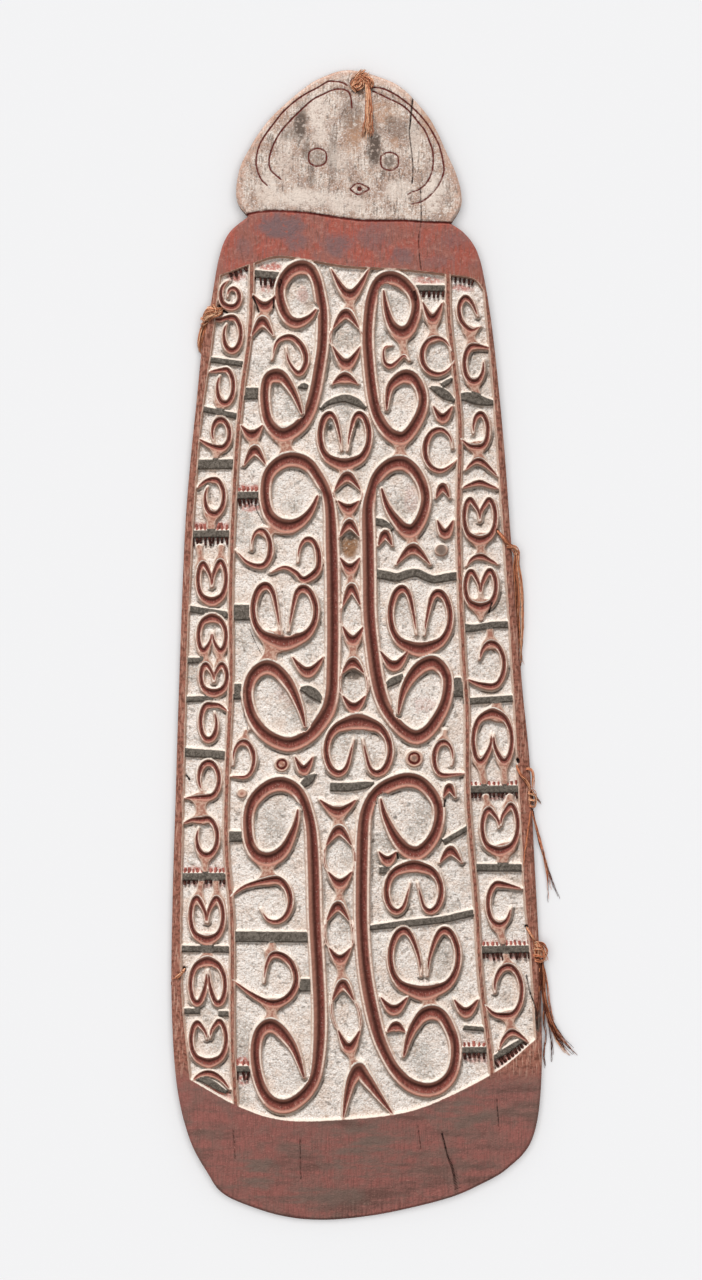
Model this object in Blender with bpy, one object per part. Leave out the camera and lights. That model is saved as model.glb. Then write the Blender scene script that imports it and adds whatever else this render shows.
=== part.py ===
# Asmat shield: one carved plank of buttress root, with six fibre ties through its edge.
# It lies on its hollow back. +Z is up, +Y runs from the foot to the head, metres.
import math

import bmesh
import bpy
import numpy as np
from mathutils import Vector
from mathutils.geometry import delaunay_2d_cdt

# Driving dimensions, in metres
BOARD_LENGTH = 2.000
EDGE_THICKNESS = 0.018      # the board at its outline
CROWN = 0.044               # how far the front rises from the outline to the middle
HOLLOW_DEPTH = 0.040        # how far the back is hollowed
SEAT_WIDTH = 0.014          # flat band round the back that the board lies on
HOLLOW_BLEND = 0.060        # from that band to the full hollow
RELIEF_HEIGHT = 0.007       # the bands above the ground between them
GRIP_OPENING = 0.130        # clear length for the fingers
GRIP_WIDTH = 0.024
GRIP_THICKNESS = 0.015
GRIP_FLOOR_GAP = 0.003      # under the grip, so that only the rim touches the ground
GRIP_ROOT = 0.026           # length of each end that runs up into the board
HOLE_DIAMETER = 0.0085      # the small holes for the ties
TIE_PLAY = 0.0006           # round a tie in its hole, and under it on the board
GRID_PITCH = 0.075          # between the free points of the plain fields
MERGE_DISTANCE = 0.0010     # points of the plan closer than this become one
CARVING_TOLERANCE = 0.0025  # how far the flats of a band may stray from its curve
SMALLEST_GROUND = 0.00012   # specks of ground under this area, in square metres, stay uncut

# The carving is laid out on a sheet of squares: columns to the right, rows towards the foot.
# Its shapes are shares of the board's length, as a carver's own proportions are.
HEAD_ROW = 68
FOOT_ROW = 1222
MIDDLE_COLUMN = 357
SQUARE = BOARD_LENGTH / (FOOT_ROW - HEAD_ROW)
MIDDLE_ROW = (HEAD_ROW + FOOT_ROW) / 2

# The dome of the front: its middle column and how far it reaches to each side, at the head and at the foot
DOME_COLUMNS = (349, 356)
DOME_REACH = (148, 200)

# Half widths of the bands, in squares
SCROLL_BAND = 6.0
MEDIUM_BAND = 4.8
SMALL_BAND = 4.0
CRESCENT_BAND = 4.2
RIDGE_BAND = 2.6
# A free tip's width as a share of its band's, and the share of its length over which it narrows
TIP_SHARE = 0.25
TIP_RUN = 0.25

HEAD_OUTLINE = [
    (248, 216), (238, 203), (236, 188), (240, 166), (249, 148), (260, 130), (275, 112), (302, 88),
    (321, 76), (348, 68), (382, 76), (404, 88), (426, 112), (437, 130), (446, 150), (456, 172),
    (461, 190), (461, 206), (451, 223),
]
BODY_OUTLINE = [
    (451, 223), (465, 233), (477, 250), (485, 280), (494, 340), (504, 440), (510, 520), (516, 600),
    (523, 690), (530, 760), (534.5, 850), (541, 980), (542, 1080), (533, 1140), (508, 1170), (477, 1188),
    (448, 1200), (401, 1212), (362, 1219), (320, 1222), (282, 1218), (244, 1206), (221, 1194), (208, 1176),
    (189, 1140), (176, 1084), (171, 1000), (172, 900), (175, 800), (178, 700), (184, 540), (190, 460),
    (196, 402), (202, 345), (211, 300), (219, 256), (229, 232), (248, 216),
]
PANEL_OUTLINE = [
    [(220, 275), (229, 272), (252, 264), (275, 257), (300, 259), (345, 267), (400, 270), (450, 275), (474, 279),
     (484, 290)],
    [(484, 290), (494, 400), (501, 500), (511, 650), (520, 810), (525, 900), (531, 960), (536, 1040)],
    [(536, 1040), (497, 1071), (440, 1100), (400, 1113), (345, 1119), (285, 1120), (240, 1107), (190, 1080)],
    [(190, 1080), (181, 975), (183, 800), (189, 600), (199, 440), (211, 350), (220, 275)],
]
RIDGES = [
    [(252, 255), (250, 330), (241, 400), (235, 480), (231, 580), (231, 680), (227, 780), (226.5, 850),
     (232, 920), (232.5, 1040), (236, 1112)],
    [(448, 265), (449, 320), (458, 400), (460, 440), (458.5, 530), (463, 650), (467, 710), (468, 800),
     (476, 900), (481, 980), (491, 1060), (492, 1085)],
]
SCROLLS = [
    [(312, 313), (296, 320), (283, 306), (283, 283), (302, 265), (319, 283), (324, 320), (321, 362), (308, 415),
     (283, 435), (267, 410), (267, 382), (278, 373), (290, 384), (301, 408)],
    [(313, 505), (291, 526), (270, 512), (265, 482), (287, 456), (314, 469), (329, 505), (332, 560), (333, 640),
     (330, 702), (315, 733), (288, 744), (258, 726), (246, 692), (266, 665), (283, 677), (304, 722)],
    [(296, 825), (285, 850), (263, 858), (247, 834), (252, 800), (282, 785), (307, 806), (314, 860), (316, 940),
     (319, 1035), (310, 1088), (283, 1107), (261, 1087), (255, 1047), (271, 1024), (286, 1038), (301, 1068)],
    [(384, 292), (389, 316), (401, 332), (414, 319), (414, 295), (391, 275), (372, 296), (368, 345), (376, 405),
     (390, 434), (404, 440), (421, 413), (420, 388), (404, 374), (389, 386), (386, 400)],
    [(386, 500), (397, 519), (411, 533), (424, 513), (424, 484), (401, 461), (375, 478), (368, 520), (370, 620),
     (381, 692), (397, 723), (416, 737), (441, 711), (448, 680), (431, 660), (408, 681), (399, 703)],
    [(383, 808), (395, 838), (417, 853), (437, 830), (437, 801), (406, 777), (372, 798), (362, 850), (362, 920),
     (369, 1000), (393, 1067), (428, 1091), (454, 1066), (452, 1032), (431, 1010), (412, 1029), (404, 1050)],
]

# One lobe and half the bowl of a heart, as shares of its width and height
HEART_HALF = [
    (0.44, 0.58), (0.40, 0.34), (0.31, 0.10), (0.20, 0), (0.09, 0.08), (0.02, 0.27), (0, 0.47), (0.04, 0.70),
    (0.15, 0.89), (0.31, 0.98),
]


def loop(x, y, rx, ry, tip, end, tuck=0.9):
    """Points round an oval from one clock hour to another. The tip is tucked in."""
    points = []
    for hour in np.linspace(tip, end, max(3, math.ceil(abs(end - tip) / 1.3) + 1)):
        pull = 1 - (1 - tuck) * max(0, 1 - abs(hour - tip) / 3) ** 1.3
        angle = math.radians(30 * hour)
        points.append((x + pull * rx * math.sin(angle), y - pull * ry * math.cos(angle)))
    return points


def heart(left, right, top, bottom, tip=1.0, gap=1.0, lift=0.0):
    """Two curled lobes and the bowl that joins them. It is upside down where bottom is the smaller row."""
    half = [(0.5 - (0.5 - u) * (gap if i < 2 else 1), v * (tip if i < 2 else 1))
            for i, (u, v) in enumerate(HEART_HALF)]
    whole = [(u, v, 0) for u, v in half] + [(0.5, 1, 0)] + [(1 - u, v, lift) for u, v in half[::-1]]
    return [(left + u * (right - left), top + v * (bottom - top) + side * (1 - v)) for u, v, side in whole]


def vee(x, y, width, rise):
    """A crescent with its point at (x, y). Its arms rise towards the head, or fall where rise is negative."""
    return [(x - width / 2, y - rise), (x - width / 4, y - 0.42 * rise), (x, y),
            (x + width / 4, y - 0.42 * rise), (x + width / 2, y - rise)]


MEDIUM_CURLS = [
    [(272, 360), (277, 342), (291, 337), (303, 348), (306, 363), (299, 374), (289, 362), (286, 348)],
    [(391, 346), (384, 348), (384, 362), (390, 367), (397, 362), (404, 355.5), (409, 361)],
    loop(260.5, 548, 10, 18.5, 9.6, 18.4) + [(247, 562), (236, 550)],
    [(271, 572), (285, 567), (297, 573), (304, 580)] + loop(308.5, 559, 10.5, 20.5, 16.2, 8.7, 1),
    heart(253, 316, 585, 639, 1.0, 1.15, 3),
    heart(390, 450, 588, 647, 0.85, 1.3, 4),
    heart(320, 369, 414, 463, 0.7, 1.7),
    heart(326, 390, 773, 722, 1.05, 0.75),
    [(231, 896), (245, 886)] + loop(275, 900, 15.5, 21.5, 11.5, 20.2, 1),
    [(264, 982), (266, 966), (272, 954), (283, 955), (293, 965), (296, 982), (288, 997), (272, 1003), (252, 994),
     (233, 980)],
    heart(386, 441, 911, 866, 0.95, 1.2),
    heart(390, 458, 929, 990, 0.85, 1.0),
    loop(437.5, 356, 16, 18.5, 14.4, 4.6) + [(454, 361)],
    loop(440, 450, 15.5, 21, 14.8, 4.6, 0.8) + [(457, 459)],
    loop(443.5, 758, 9.8, 17, 15, 6.4) + [(455, 774), (465, 773)],
    [(233, 765)] + loop(243.5, 759, 10.5, 18, 9.8, 17.6, 1) + [(231, 776)],
]
SMALL_CURLS = [
    loop(231, 297, 9.5, 11.5, 10.7, 18.3, 0.6) + [(219, 306)],
    loop(232, 333.5, 8.8, 17, 9.8, -0.3) + [(219, 319), (209, 317)],
    loop(225, 386, 8.3, 17.5, 9.2, -0.6) + [(209, 371)],
    loop(220.5, 433.5, 9, 14.5, 8.5, 18.4) + [(208, 444), (198, 438)],
    loop(214, 496.5, 9.8, 17.8, 9.5, -0.4) + [(205, 481), (197, 487)],
    heart(197.5, 226, 563, 600, 0.95, 0.5, -2),
    heart(198, 226, 651, 618, 1.0, 0.5),
    heart(200.5, 227, 664, 692, 1.0, 0.4),
    loop(208.5, 722, 8.3, 18, 3.3, 12.6) + [(219, 705), (228, 711)],
    loop(208.5, 779.5, 10.5, 17.5, 8.2, 17.4) + [(200, 797.5), (185, 798)],
    loop(206.5, 837, 10.8, 18.8, 9.2, -0.8) + [(192, 820), (182, 824)],
    heart(190, 223, 898, 939, 1.05, 0.45),
    heart(190, 225, 1004, 962, 1.3, 0.6),
    heart(190.5, 226, 1023, 1062, 0.75, 0.75, -2),
    [(192, 1081), (200, 1075), (210, 1073.5), (221, 1079), (230, 1090)],
    [(480, 326), (471, 330), (461, 320), (459, 306), (465, 297), (472, 302), (478, 316)],
    [(492, 348)] + loop(474, 363.5, 9.8, 18.5, 12.3, 2.6, 1),
    loop(480.5, 430, 7.5, 17, 8.6, 18.2, 1) + [(470, 446), (461, 439)],
    [(465, 470), (472, 463), (478, 460), (486, 464), (498, 476)],
    [(462, 488), (469, 485), (480, 482), (489, 485), (498, 488)],
    heart(464, 495.5, 499, 539, 0.7, 0.2),
    [(466, 566), (473, 558), (482, 556), (490, 560), (498, 564)],
    heart(465, 496, 571, 606, 0.7, 0.6, -1),
    loop(491, 664.5, 13.3, 22, 9.5, 17.6) + [(479, 684), (467, 679)],
    heart(473, 512, 762, 714, 0.75, 0.7),
    heart(482, 518, 809, 850, 0.5, 0.5, -4),
    [(522, 889)] + loop(499.5, 903.5, 11.8, 22, 12.4, 3.4),
    [(495, 993)] + loop(508, 991.5, 14, 25, 9.8, 18.4, 1) + [(494, 1014), (485, 1005)],
    [(499, 1050), (503, 1040), (511, 1032.5), (519, 1035), (529, 1043)],
]
# Crescents: column and row of the point, width, rise
CRESCENTS = [
    (350, 295, 38, 26), (346, 314, 26, -15), (346.5, 364.5, 28, 18), (345, 377.5, 25, -7),
    (346, 477, 22, -11), (348, 509, 19, 6), (348, 524, 18, -11), (350, 568.5, 20, 11),
    (351.5, 588, 18, -18), (353, 640, 21, 14), (353, 662, 22, -11), (354, 707, 23, 12),
    (338, 811, 36, 12), (339, 829, 26, -16), (340, 882.5, 24, 12), (338, 905, 23, -15), (340, 958.5, 22, 12),
    (343, 983, 22, -17), (349, 1047, 22, 18),
    (265, 306.5, 24, 12), (262.5, 321, 22, -15), (252, 435, 22, 10), (255, 450, 22, -15),
    (308, 671.5, 31, 15), (304, 769, 18, 13), (432.5, 319, 20, 17), (442.5, 418, 19, 12),
    (442.5, 487, 14, -11), (445, 534, 16, 14), (385, 534, 14, -12), (413, 548.5, 34, -16),
    (394, 665.5, 28, 15), (449, 787, 12, -10), (387.5, 859.5, 18, 9), (450.5, 850, 22, -12),
    (394, 1009, 27, 13), (396, 1025, 18, -6), (466, 1012, 24, 13),
]
GREAT_CRESCENT = [(342, 1117), (345, 1098), (350, 1080), (359, 1073), (369, 1080), (383, 1098), (393, 1113)]
# Short necks that join one band to the next: both ends, then the half width at each
NECKS = [
    (350, 297, 350, 310, 6, 4), (346, 366, 346, 378, 5, 4), (348, 511, 348, 524, 4, 4),
    (350, 570, 351, 588, 4, 3), (353, 642, 353, 662, 5, 4), (338, 813, 339, 829, 7, 4),
    (340, 885, 339, 900, 5, 3), (340, 960, 342, 983, 4, 5), (350, 1048, 353, 1062, 6, 2),
    (265, 308, 262, 321, 5, 5), (253, 437, 255, 450, 5, 4), (433, 320, 433, 337, 5, 4),
    (284, 437, 287, 453, 9, 6), (291, 529, 263, 532, 3, 3), (267, 861, 268, 876, 8, 7),
    (272, 1006, 271, 1020, 7, 5), (274, 643, 268, 660, 12, 6), (270, 951, 272, 944, 5, 3),
    (401, 336, 404, 352, 7, 3), (400, 441, 400, 456, 6, 5), (411, 536, 413, 547, 6, 4),
    (428, 993, 430, 1007, 8, 6), (345, 466, 346, 476, 8, 4),
    (219, 402, 219, 410, 4, 3), (217, 450, 215, 459, 5, 2), (211, 516, 211, 527, 6, 4),
    (201, 564, 199, 547, 4, 3), (220, 562, 221, 547, 4, 3), (204, 652, 206, 664, 4, 4),
    (219, 652, 220, 663, 4, 4), (200, 800, 201, 817, 7, 6), (205, 858, 205, 870, 5, 3),
    (198, 899, 201, 882, 4, 3), (217, 899, 216, 882, 4, 3), (207, 940, 207, 948, 5, 4),
    (206, 960, 207, 952, 7, 4), (470, 333, 472, 344, 6, 4), (474, 384, 476, 393, 5, 4),
    (477, 448, 479, 458, 7, 4), (480, 540, 481, 552, 7, 3), (480, 607, 481, 619, 9, 2),
    (490, 642, 490, 630, 6, 3), (480, 762, 484, 782, 5, 3), (504, 763, 505, 782, 5, 3),
    (488, 808, 486, 797, 4, 3), (508, 805, 510, 797, 4, 3), (505, 851, 503, 862, 8, 5),
    (499, 927, 503, 942, 6, 3), (508, 964, 506, 956, 4, 3), (509, 1018, 511, 1031, 6, 4),
    (498, 715, 497, 703, 6, 4), (443, 740, 445, 731, 4, 2), (244, 740, 246, 731, 4, 2),
]
# Flat bars between the ridges: both ends and the thickness
BARS = [
    (206, 358, 247, 364, 5), (203, 408, 239, 416, 5), (194, 463.5, 236, 463.5, 9), (188, 608, 232, 615, 6),
    (186, 660, 202, 660, 5), (186, 699, 212, 698, 5), (184, 752, 229, 755, 8), (181, 949, 233, 949, 6),
    (180, 1011.5, 199, 1011.5, 5), (219, 1013.5, 233, 1013.5, 5), (242, 393, 265, 393, 11),
    (232, 612, 251, 612, 15), (230, 691, 242, 691, 15), (227, 836, 246, 836, 10), (233, 936, 314, 936, 10),
    (300, 984, 317, 984, 12), (301, 688, 323, 701, 8), (303, 785, 313, 776, 8), (330, 786, 371, 784, 8),
    (320, 412, 332, 401, 6), (332, 401, 350, 397, 8), (350, 397, 366, 409, 6), (433, 389, 452, 399, 6),
    (374, 521, 392, 530, 7), (374, 573, 402, 577, 8), (402, 577, 418, 572, 8), (418, 572, 434, 580, 8),
    (434, 580, 459, 575, 8), (384, 687, 404, 675, 7), (458, 677, 458, 697, 8), (380, 869, 397, 869, 6),
    (444, 841, 470, 826, 6), (366, 927, 440, 919, 5), (440, 919, 478, 911, 6), (464, 1027, 483, 1029, 4),
    (458, 397, 477, 395, 7), (477, 395, 497, 403, 7), (460, 627, 512, 624, 6), (464, 701, 514, 698, 6),
    (474, 867, 526, 868, 7), (493, 1061, 521, 1042, 7),
    (252, 275, 283, 277, 13), (237, 496, 266, 496, 17), (188, 533, 233, 533, 16), (180, 876, 231, 876, 14),
    (234, 1070, 252, 1070, 20), (413, 289, 448, 289, 14), (467, 789, 520, 789, 13), (479, 949, 533, 949, 14),
    (455, 1051, 492, 1051, 15), (494, 1068, 531, 1045, 6), (192, 1083, 234, 1103, 6),
]
# Studs: column, row, radius
STUDS = [(282, 764, 8), (414, 758, 8.5), (441, 550, 6), (242, 793, 5), (303, 388, 5), (350, 545, 7)]

# Ties: the hole, the way over the board's face with the radius at each point, then the row and side
# where the tie crosses the edge. Each lock beside the board is a list of points: the squares that it
# stands off the edge, its row, its height as a share of the edge's thickness and its radius in metres.
TIES = {
    "head_tuft": {
        "hole": (357, 88),
        "face": [(362, 82, 0.0080), (367, 92, 0.0080), (370, 112, 0.0070), (371, 138, 0.0085)],
    },
    "upper_left_tie": {
        "hole": (219, 306), "face": [(213, 311, 0.0060)], "edge": (317, -1),
        "locks": [[(0.5, 328, 1.0, 0.0060), (0.5, 340, 0.9, 0.0055), (0.2, 354, 0.6, 0.0030)]],
    },
    "upper_right_bunch": {
        "hole": (499, 531), "face": [(506, 539, 0.0045)], "edge": (548, 1),
        "locks": [[(0.5, 562, 0.9, 0.0045), (2, 600, 0.8, 0.0052), (1, 645, 0.7, 0.0045), (0.5, 682, 0.6, 0.0025)]],
    },
    "middle_right_tassel": {
        "hole": (517, 764), "face": [(523, 768, 0.0050)], "edge": (773, 1),
        "locks": [[(0.3, 788, 0.9, 0.0070), (0.8, 808, 0.8, 0.0060), (6, 850, 0.6, 0.0045), (13, 898, 0.3, 0.0030)]],
    },
    "lower_right_tassel": {
        "hole": (527, 927), "face": [(533, 936, 0.0055)], "edge": (945, 1),
        "locks": [
            [(0.3, 960, 0.9, 0.0085), (1, 985, 0.8, 0.0070), (3, 1020, 0.7, 0.0085), (5, 1078, 0.6, 0.0040)],
            [(1, 985, 0.8, 0.0065), (11, 1030, 0.7, 0.0085), (28, 1058, 0.5, 0.0060), (33, 1068, 0.4, 0.0035)],
        ],
    },
    "lower_left_cord": {
        "hole": (184, 970), "face": [(179, 974, 0.0035)], "edge": (979, -1),
        "locks": [[(0.3, 985, 0.6, 0.0025)]],
    },
}


def to_board(points):
    """Squares of the sheet to metres on the board."""
    p = np.array(points, float)
    return np.column_stack([(p[:, 0] - MIDDLE_COLUMN) * SQUARE, (MIDDLE_ROW - p[:, 1]) * SQUARE])


def smooth(points, step=0.0025):
    """A smooth curve through the points, read off about every step metres."""
    p = np.vstack([2 * points[0] - points[1], points, 2 * points[-1] - points[-2]])
    out = []
    for a, b, c, d in zip(p[:-3], p[1:-2], p[2:-1], p[3:]):
        count = max(1, round(float(np.linalg.norm(c - b)) / step))
        for t in np.arange(count) / count:
            out.append(0.5 * (2 * b + (c - a) * t + (2 * a - 5 * b + 4 * c - d) * t ** 2
                              + (3 * b - a - 3 * c + d) * t ** 3))
    return np.array(out + [p[-2]])


def thin(curve, turn, longest):
    """Indices of the points a curve needs: one for each turn in degrees, or for each stretch in metres."""
    keep, swing, run = [0], 0.0, 0.0
    for i in range(1, len(curve) - 1):
        before, after = curve[i] - curve[i - 1], curve[i + 1] - curve[i]
        swing += math.degrees(abs(math.atan2(before[0] * after[1] - before[1] * after[0], before @ after)))
        run += float(np.linalg.norm(before))
        if swing >= turn or run >= longest:
            keep.append(i)
            swing, run = 0.0, 0.0
    return keep + [len(curve) - 1]


def edge_curve(runs, turn=12, longest=0.070):
    """A closed line made of smooth runs that meet at corners."""
    corners = []
    for run in runs:
        curve = smooth(to_board(run))
        corners += [curve[i] for i in thin(curve, turn, longest)[:-1]]
    return np.array(corners)


def band(points, half_width, tips=(True, True)):
    """The outline of a band along a smooth curve. It narrows to each free tip."""
    curve = smooth(to_board(points))
    share = np.linspace(0, 1, len(curve))
    heading = np.gradient(curve, axis=0)
    heading /= np.linalg.norm(heading, axis=1)[:, None]
    side = np.column_stack([-heading[:, 1], heading[:, 0]])
    grow = np.ones(len(curve))
    if tips[0]:
        grow = np.minimum(grow, TIP_SHARE + share / TIP_RUN)
    if tips[1]:
        grow = np.minimum(grow, TIP_SHARE + (1 - share) / TIP_RUN)
    reach = half_width * grow * SQUARE
    edges = []
    for way in (1, -1):
        edge = curve + way * side * reach[:, None]
        gaps = np.linalg.norm(edge[:, None, :] - curve[None, :, :], axis=2) / reach[None, :]
        edges.append(edge[gaps.min(axis=1) > 0.97])
    return np.vstack([edges[0], edges[1][::-1]])


def strip(x0, y0, x1, y1, half0, half1):
    """The outline of a straight band between two places, with its half width at each, in squares."""
    ends = to_board([(x0, y0), (x1, y1)])
    along = (ends[1] - ends[0]) / np.linalg.norm(ends[1] - ends[0])
    side = np.array([-along[1], along[0]]) * SQUARE
    wide0, wide1 = side * half0, side * half1
    return np.array([ends[0] + wide0, ends[1] + wide1, ends[1] - wide1, ends[0] - wide0])


def stud(column, row, radius, count=10):
    """The outline of a round raised spot."""
    angles = np.arange(count) * 2 * math.pi / count
    return to_board([(column, row)])[0] + np.column_stack([np.cos(angles), np.sin(angles)]) * radius * SQUARE


def raised_bands():
    """The outline of every raised band of the panel."""
    bands = [band(ridge, RIDGE_BAND, (False, False)) for ridge in RIDGES]
    bands += [band(scroll, SCROLL_BAND) for scroll in SCROLLS + [GREAT_CRESCENT]]
    bands += [band(curl, MEDIUM_BAND) for curl in MEDIUM_CURLS]
    bands += [band(curl, SMALL_BAND) for curl in SMALL_CURLS]
    bands += [band(vee(*crescent), CRESCENT_BAND) for crescent in CRESCENTS]
    bands += [strip(*neck) for neck in NECKS]
    bands += [strip(x0, y0, x1, y1, thickness / 2, thickness / 2) for x0, y0, x1, y1, thickness in BARS]
    bands += [stud(*spot) for spot in STUDS]
    return bands


def bulge(x, y):
    """One in the middle of the board, falling to nought beyond its sides and at its ends."""
    to_foot = 0.5 - y / BOARD_LENGTH
    middle = (DOME_COLUMNS[0] + (DOME_COLUMNS[1] - DOME_COLUMNS[0]) * to_foot - MIDDLE_COLUMN) * SQUARE
    reach = (DOME_REACH[0] + (DOME_REACH[1] - DOME_REACH[0]) * to_foot) * SQUARE
    across = (x - middle) / reach
    return max(0.0, 1 - across ** 2) * max(0.0, 1 - abs(2 * y / BOARD_LENGTH) ** 3)


def front_height(x, y):
    return EDGE_THICKNESS + CROWN * bulge(x, y)


def inside(points, polygon):
    """Which points are inside a closed polygon."""
    x, y = points[:, 0], points[:, 1]
    hit = np.zeros(len(points), bool)
    for (ax, ay), (bx, by) in zip(polygon, np.roll(polygon, -1, axis=0)):
        crosses = (ay > y) != (by > y)
        with np.errstate(divide="ignore", invalid="ignore"):
            hit ^= crosses & (x < (bx - ax) * (y - ay) / (by - ay) + ax)
    return hit


def distance_to(points, polygon):
    """Distance from each point to the nearest side of a closed polygon."""
    best = np.full(len(points), np.inf)
    for a, b in zip(polygon, np.roll(polygon, -1, axis=0)):
        way = b - a
        t = np.clip(((points - a) @ way) / (way @ way), 0, 1)
        best = np.minimum(best, np.linalg.norm(points - a - t[:, None] * way, axis=1))
    return best


def grid_points(outline, pitch, keep_off, lines):
    """A loose grid inside the outline, away from it and from the other lines' points."""
    low, high = outline.min(axis=0), outline.max(axis=0)
    xs = np.arange(low[0] + pitch / 2, high[0], pitch)
    ys = np.arange(low[1] + pitch / 2, high[1], pitch)
    grid = np.array([(x, y) for y in ys for x in xs])
    grid = grid[inside(grid, outline) & (distance_to(grid, outline) > keep_off)]
    if len(lines):
        gaps = np.linalg.norm(grid[:, None, :] - lines[None, :, :], axis=2).min(axis=1)
        grid = grid[gaps > keep_off]
    return grid


def triangles(rings, loose, merge):
    """A triangulation of the flat sheet that keeps every ring as edges."""
    points, edges = [], []
    for ring in rings:
        start = len(points)
        points += list(ring)
        edges += [(start + i, start + (i + 1) % len(ring)) for i in range(len(ring))]
    points += list(loose)
    result = delaunay_2d_cdt([Vector(p) for p in points], edges, [], 1, merge)
    return np.array([v[:] for v in result[0]]), [tuple(face) for face in result[2]]


def middles(flat, faces):
    return flat[np.array(faces)].mean(axis=1)


def sides_between(faces, raised):
    """The edges with a raised face on one side and a sunk one on the other, linked into rings."""
    owners = {}
    for i, face in enumerate(faces):
        for k in range(3):
            owners.setdefault(frozenset((face[k], face[k - 1])), []).append(i)
    neighbours = {}
    for edge, touching in owners.items():
        if len(touching) == 2 and raised[touching[0]] != raised[touching[1]]:
            a, b = edge
            neighbours.setdefault(a, []).append(b)
            neighbours.setdefault(b, []).append(a)
    rings = []
    while neighbours:
        start = next(iter(neighbours))
        ring, here = [start], start
        while neighbours.get(here):
            ahead = neighbours[here].pop()
            neighbours[ahead].remove(here)
            if not neighbours[here]:
                del neighbours[here]
            here = ahead
            ring.append(here)
            if here == start:
                break
        neighbours = {corner: others for corner, others in neighbours.items() if others}
        rings.append(ring[:-1])
    return rings


def simpler(line, allowed):
    """The fewest of a line's points that keep it within the allowed distance."""
    if len(line) < 3:
        return list(line)
    way = line[-1] - line[0]
    length = np.linalg.norm(way)
    off = line - line[0]
    gaps = np.linalg.norm(off, axis=1)
    if length > 0:
        gaps = np.abs(off[:, 0] * way[1] - off[:, 1] * way[0]) / length
    worst = int(np.argmax(gaps))
    if gaps[worst] <= allowed:
        return [line[0], line[-1]]
    return simpler(line[:worst + 1], allowed)[:-1] + simpler(line[worst:], allowed)


def simpler_ring(ring, allowed):
    """The same for a closed ring, cut at two far points."""
    far = int(np.argmax(np.linalg.norm(ring - ring[0], axis=1)))
    again = int(np.argmax(np.linalg.norm(ring - ring[far], axis=1)))
    ring = np.roll(ring, -again, axis=0)
    far = int(np.argmax(np.linalg.norm(ring - ring[0], axis=1)))
    there = simpler(ring[:far + 1], allowed)
    back = simpler(np.vstack([ring[far:], ring[:1]]), allowed)
    return np.array(there[:-1] + back[:-1])


def area_of(ring):
    x, y = ring[:, 0], ring[:, 1]
    return 0.5 * abs(float(np.sum(x * np.roll(y, -1) - np.roll(x, -1) * y)))


def ground_rings(outline, panel):
    """The sunk ground between the bands, as clean rings that never cross."""
    bands = raised_bands()
    flat, faces = triangles([outline, panel] + bands, [], MERGE_DISTANCE / 2)
    centres = middles(flat, faces)
    raised = ~inside(centres, panel)
    for shape in bands:
        near = np.all((centres >= shape.min(axis=0)) & (centres <= shape.max(axis=0)), axis=1) & ~raised
        raised[near] |= inside(centres[near], shape)
    rings = [flat[ring] for ring in sides_between(faces, mend_pinches(faces, raised))]
    return [simpler_ring(ring, CARVING_TOLERANCE) for ring in rings if area_of(ring) > SMALLEST_GROUND]


def mend_pinches(faces, raised):
    """Where raised corners only touch at a point, the faces round that point are raised too."""
    around = {}
    for i, face in enumerate(faces):
        for corner in face:
            around.setdefault(corner, []).append(i)
    changed = True
    while changed:
        changed = False
        for corner, touching in around.items():
            steps = {}
            for i in touching:
                for other in faces[i]:
                    if other != corner:
                        steps.setdefault(other, []).append(raised[i])
            switches = sum(1 for sides in steps.values() if len(sides) == 2 and sides[0] != sides[1])
            if switches > 2:
                for i in touching:
                    raised[i] = True
                changed = True
    return raised


def carved_board(outline):
    """The plank with its carved front, hollow back and flat seat, closed all round."""
    rings = ground_rings(outline, edge_curve(PANEL_OUTLINE))
    loose = grid_points(outline, GRID_PITCH, GRID_PITCH * 0.4, np.vstack(rings))
    flat, faces = triangles([outline] + rings, loose, MERGE_DISTANCE)
    centres = middles(flat, faces)
    sunk = np.zeros(len(faces), bool)
    for ring in rings:
        sunk ^= inside(centres, ring)
    raised = mend_pinches(faces, ~sunk)

    bm = bmesh.new()
    corners = [bm.verts.new((x, y, 0)) for x, y in flat]
    bm_faces = [bm.faces.new([corners[i] for i in face]) for face in faces]
    low = [f for f, up in zip(bm_faces, raised) if up]
    lifted = bmesh.ops.extrude_face_region(bm, geom=low)
    bmesh.ops.delete(bm, geom=low, context="FACES")
    high = {item for item in lifted["geom"] if isinstance(item, bmesh.types.BMVert)}
    rim = {v for edge in bm.edges if edge.is_boundary for v in edge.verts}
    for v in bm.verts:
        sunk = 0 if v in high else RELIEF_HEIGHT
        v.co.z = 0 if v in rim else front_height(v.co.x, v.co.y) - sunk
    close_back(bm, outline, rim)
    bmesh.ops.recalc_face_normals(bm, faces=bm.faces)
    mesh = bpy.data.meshes.new("board")
    bm.to_mesh(mesh)
    bm.free()
    return mesh


def close_back(bm, outline, rim):
    """The back: a flat seat along the outline, then the hollow."""
    seat = shrunk(outline, SEAT_WIDTH)
    blend = shrunk(outline, SEAT_WIDTH + HOLLOW_BLEND * 0.5)[::2]
    loose = grid_points(outline, GRID_PITCH * 1.5, SEAT_WIDTH + HOLLOW_BLEND * 0.8, np.empty((0, 2)))
    flat, faces = triangles([outline, seat, blend], loose, MERGE_DISTANCE)
    margin = distance_to(flat, outline)
    corners = []
    for (x, y), d in zip(flat, margin):
        on_rim = [v for v in rim if abs(v.co.x - x) < 1e-5 and abs(v.co.y - y) < 1e-5]
        corners.append(on_rim[0] if on_rim else bm.verts.new((x, y, back_height(x, y, d))))
    for face in faces:
        bm.faces.new([corners[i] for i in face])


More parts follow.
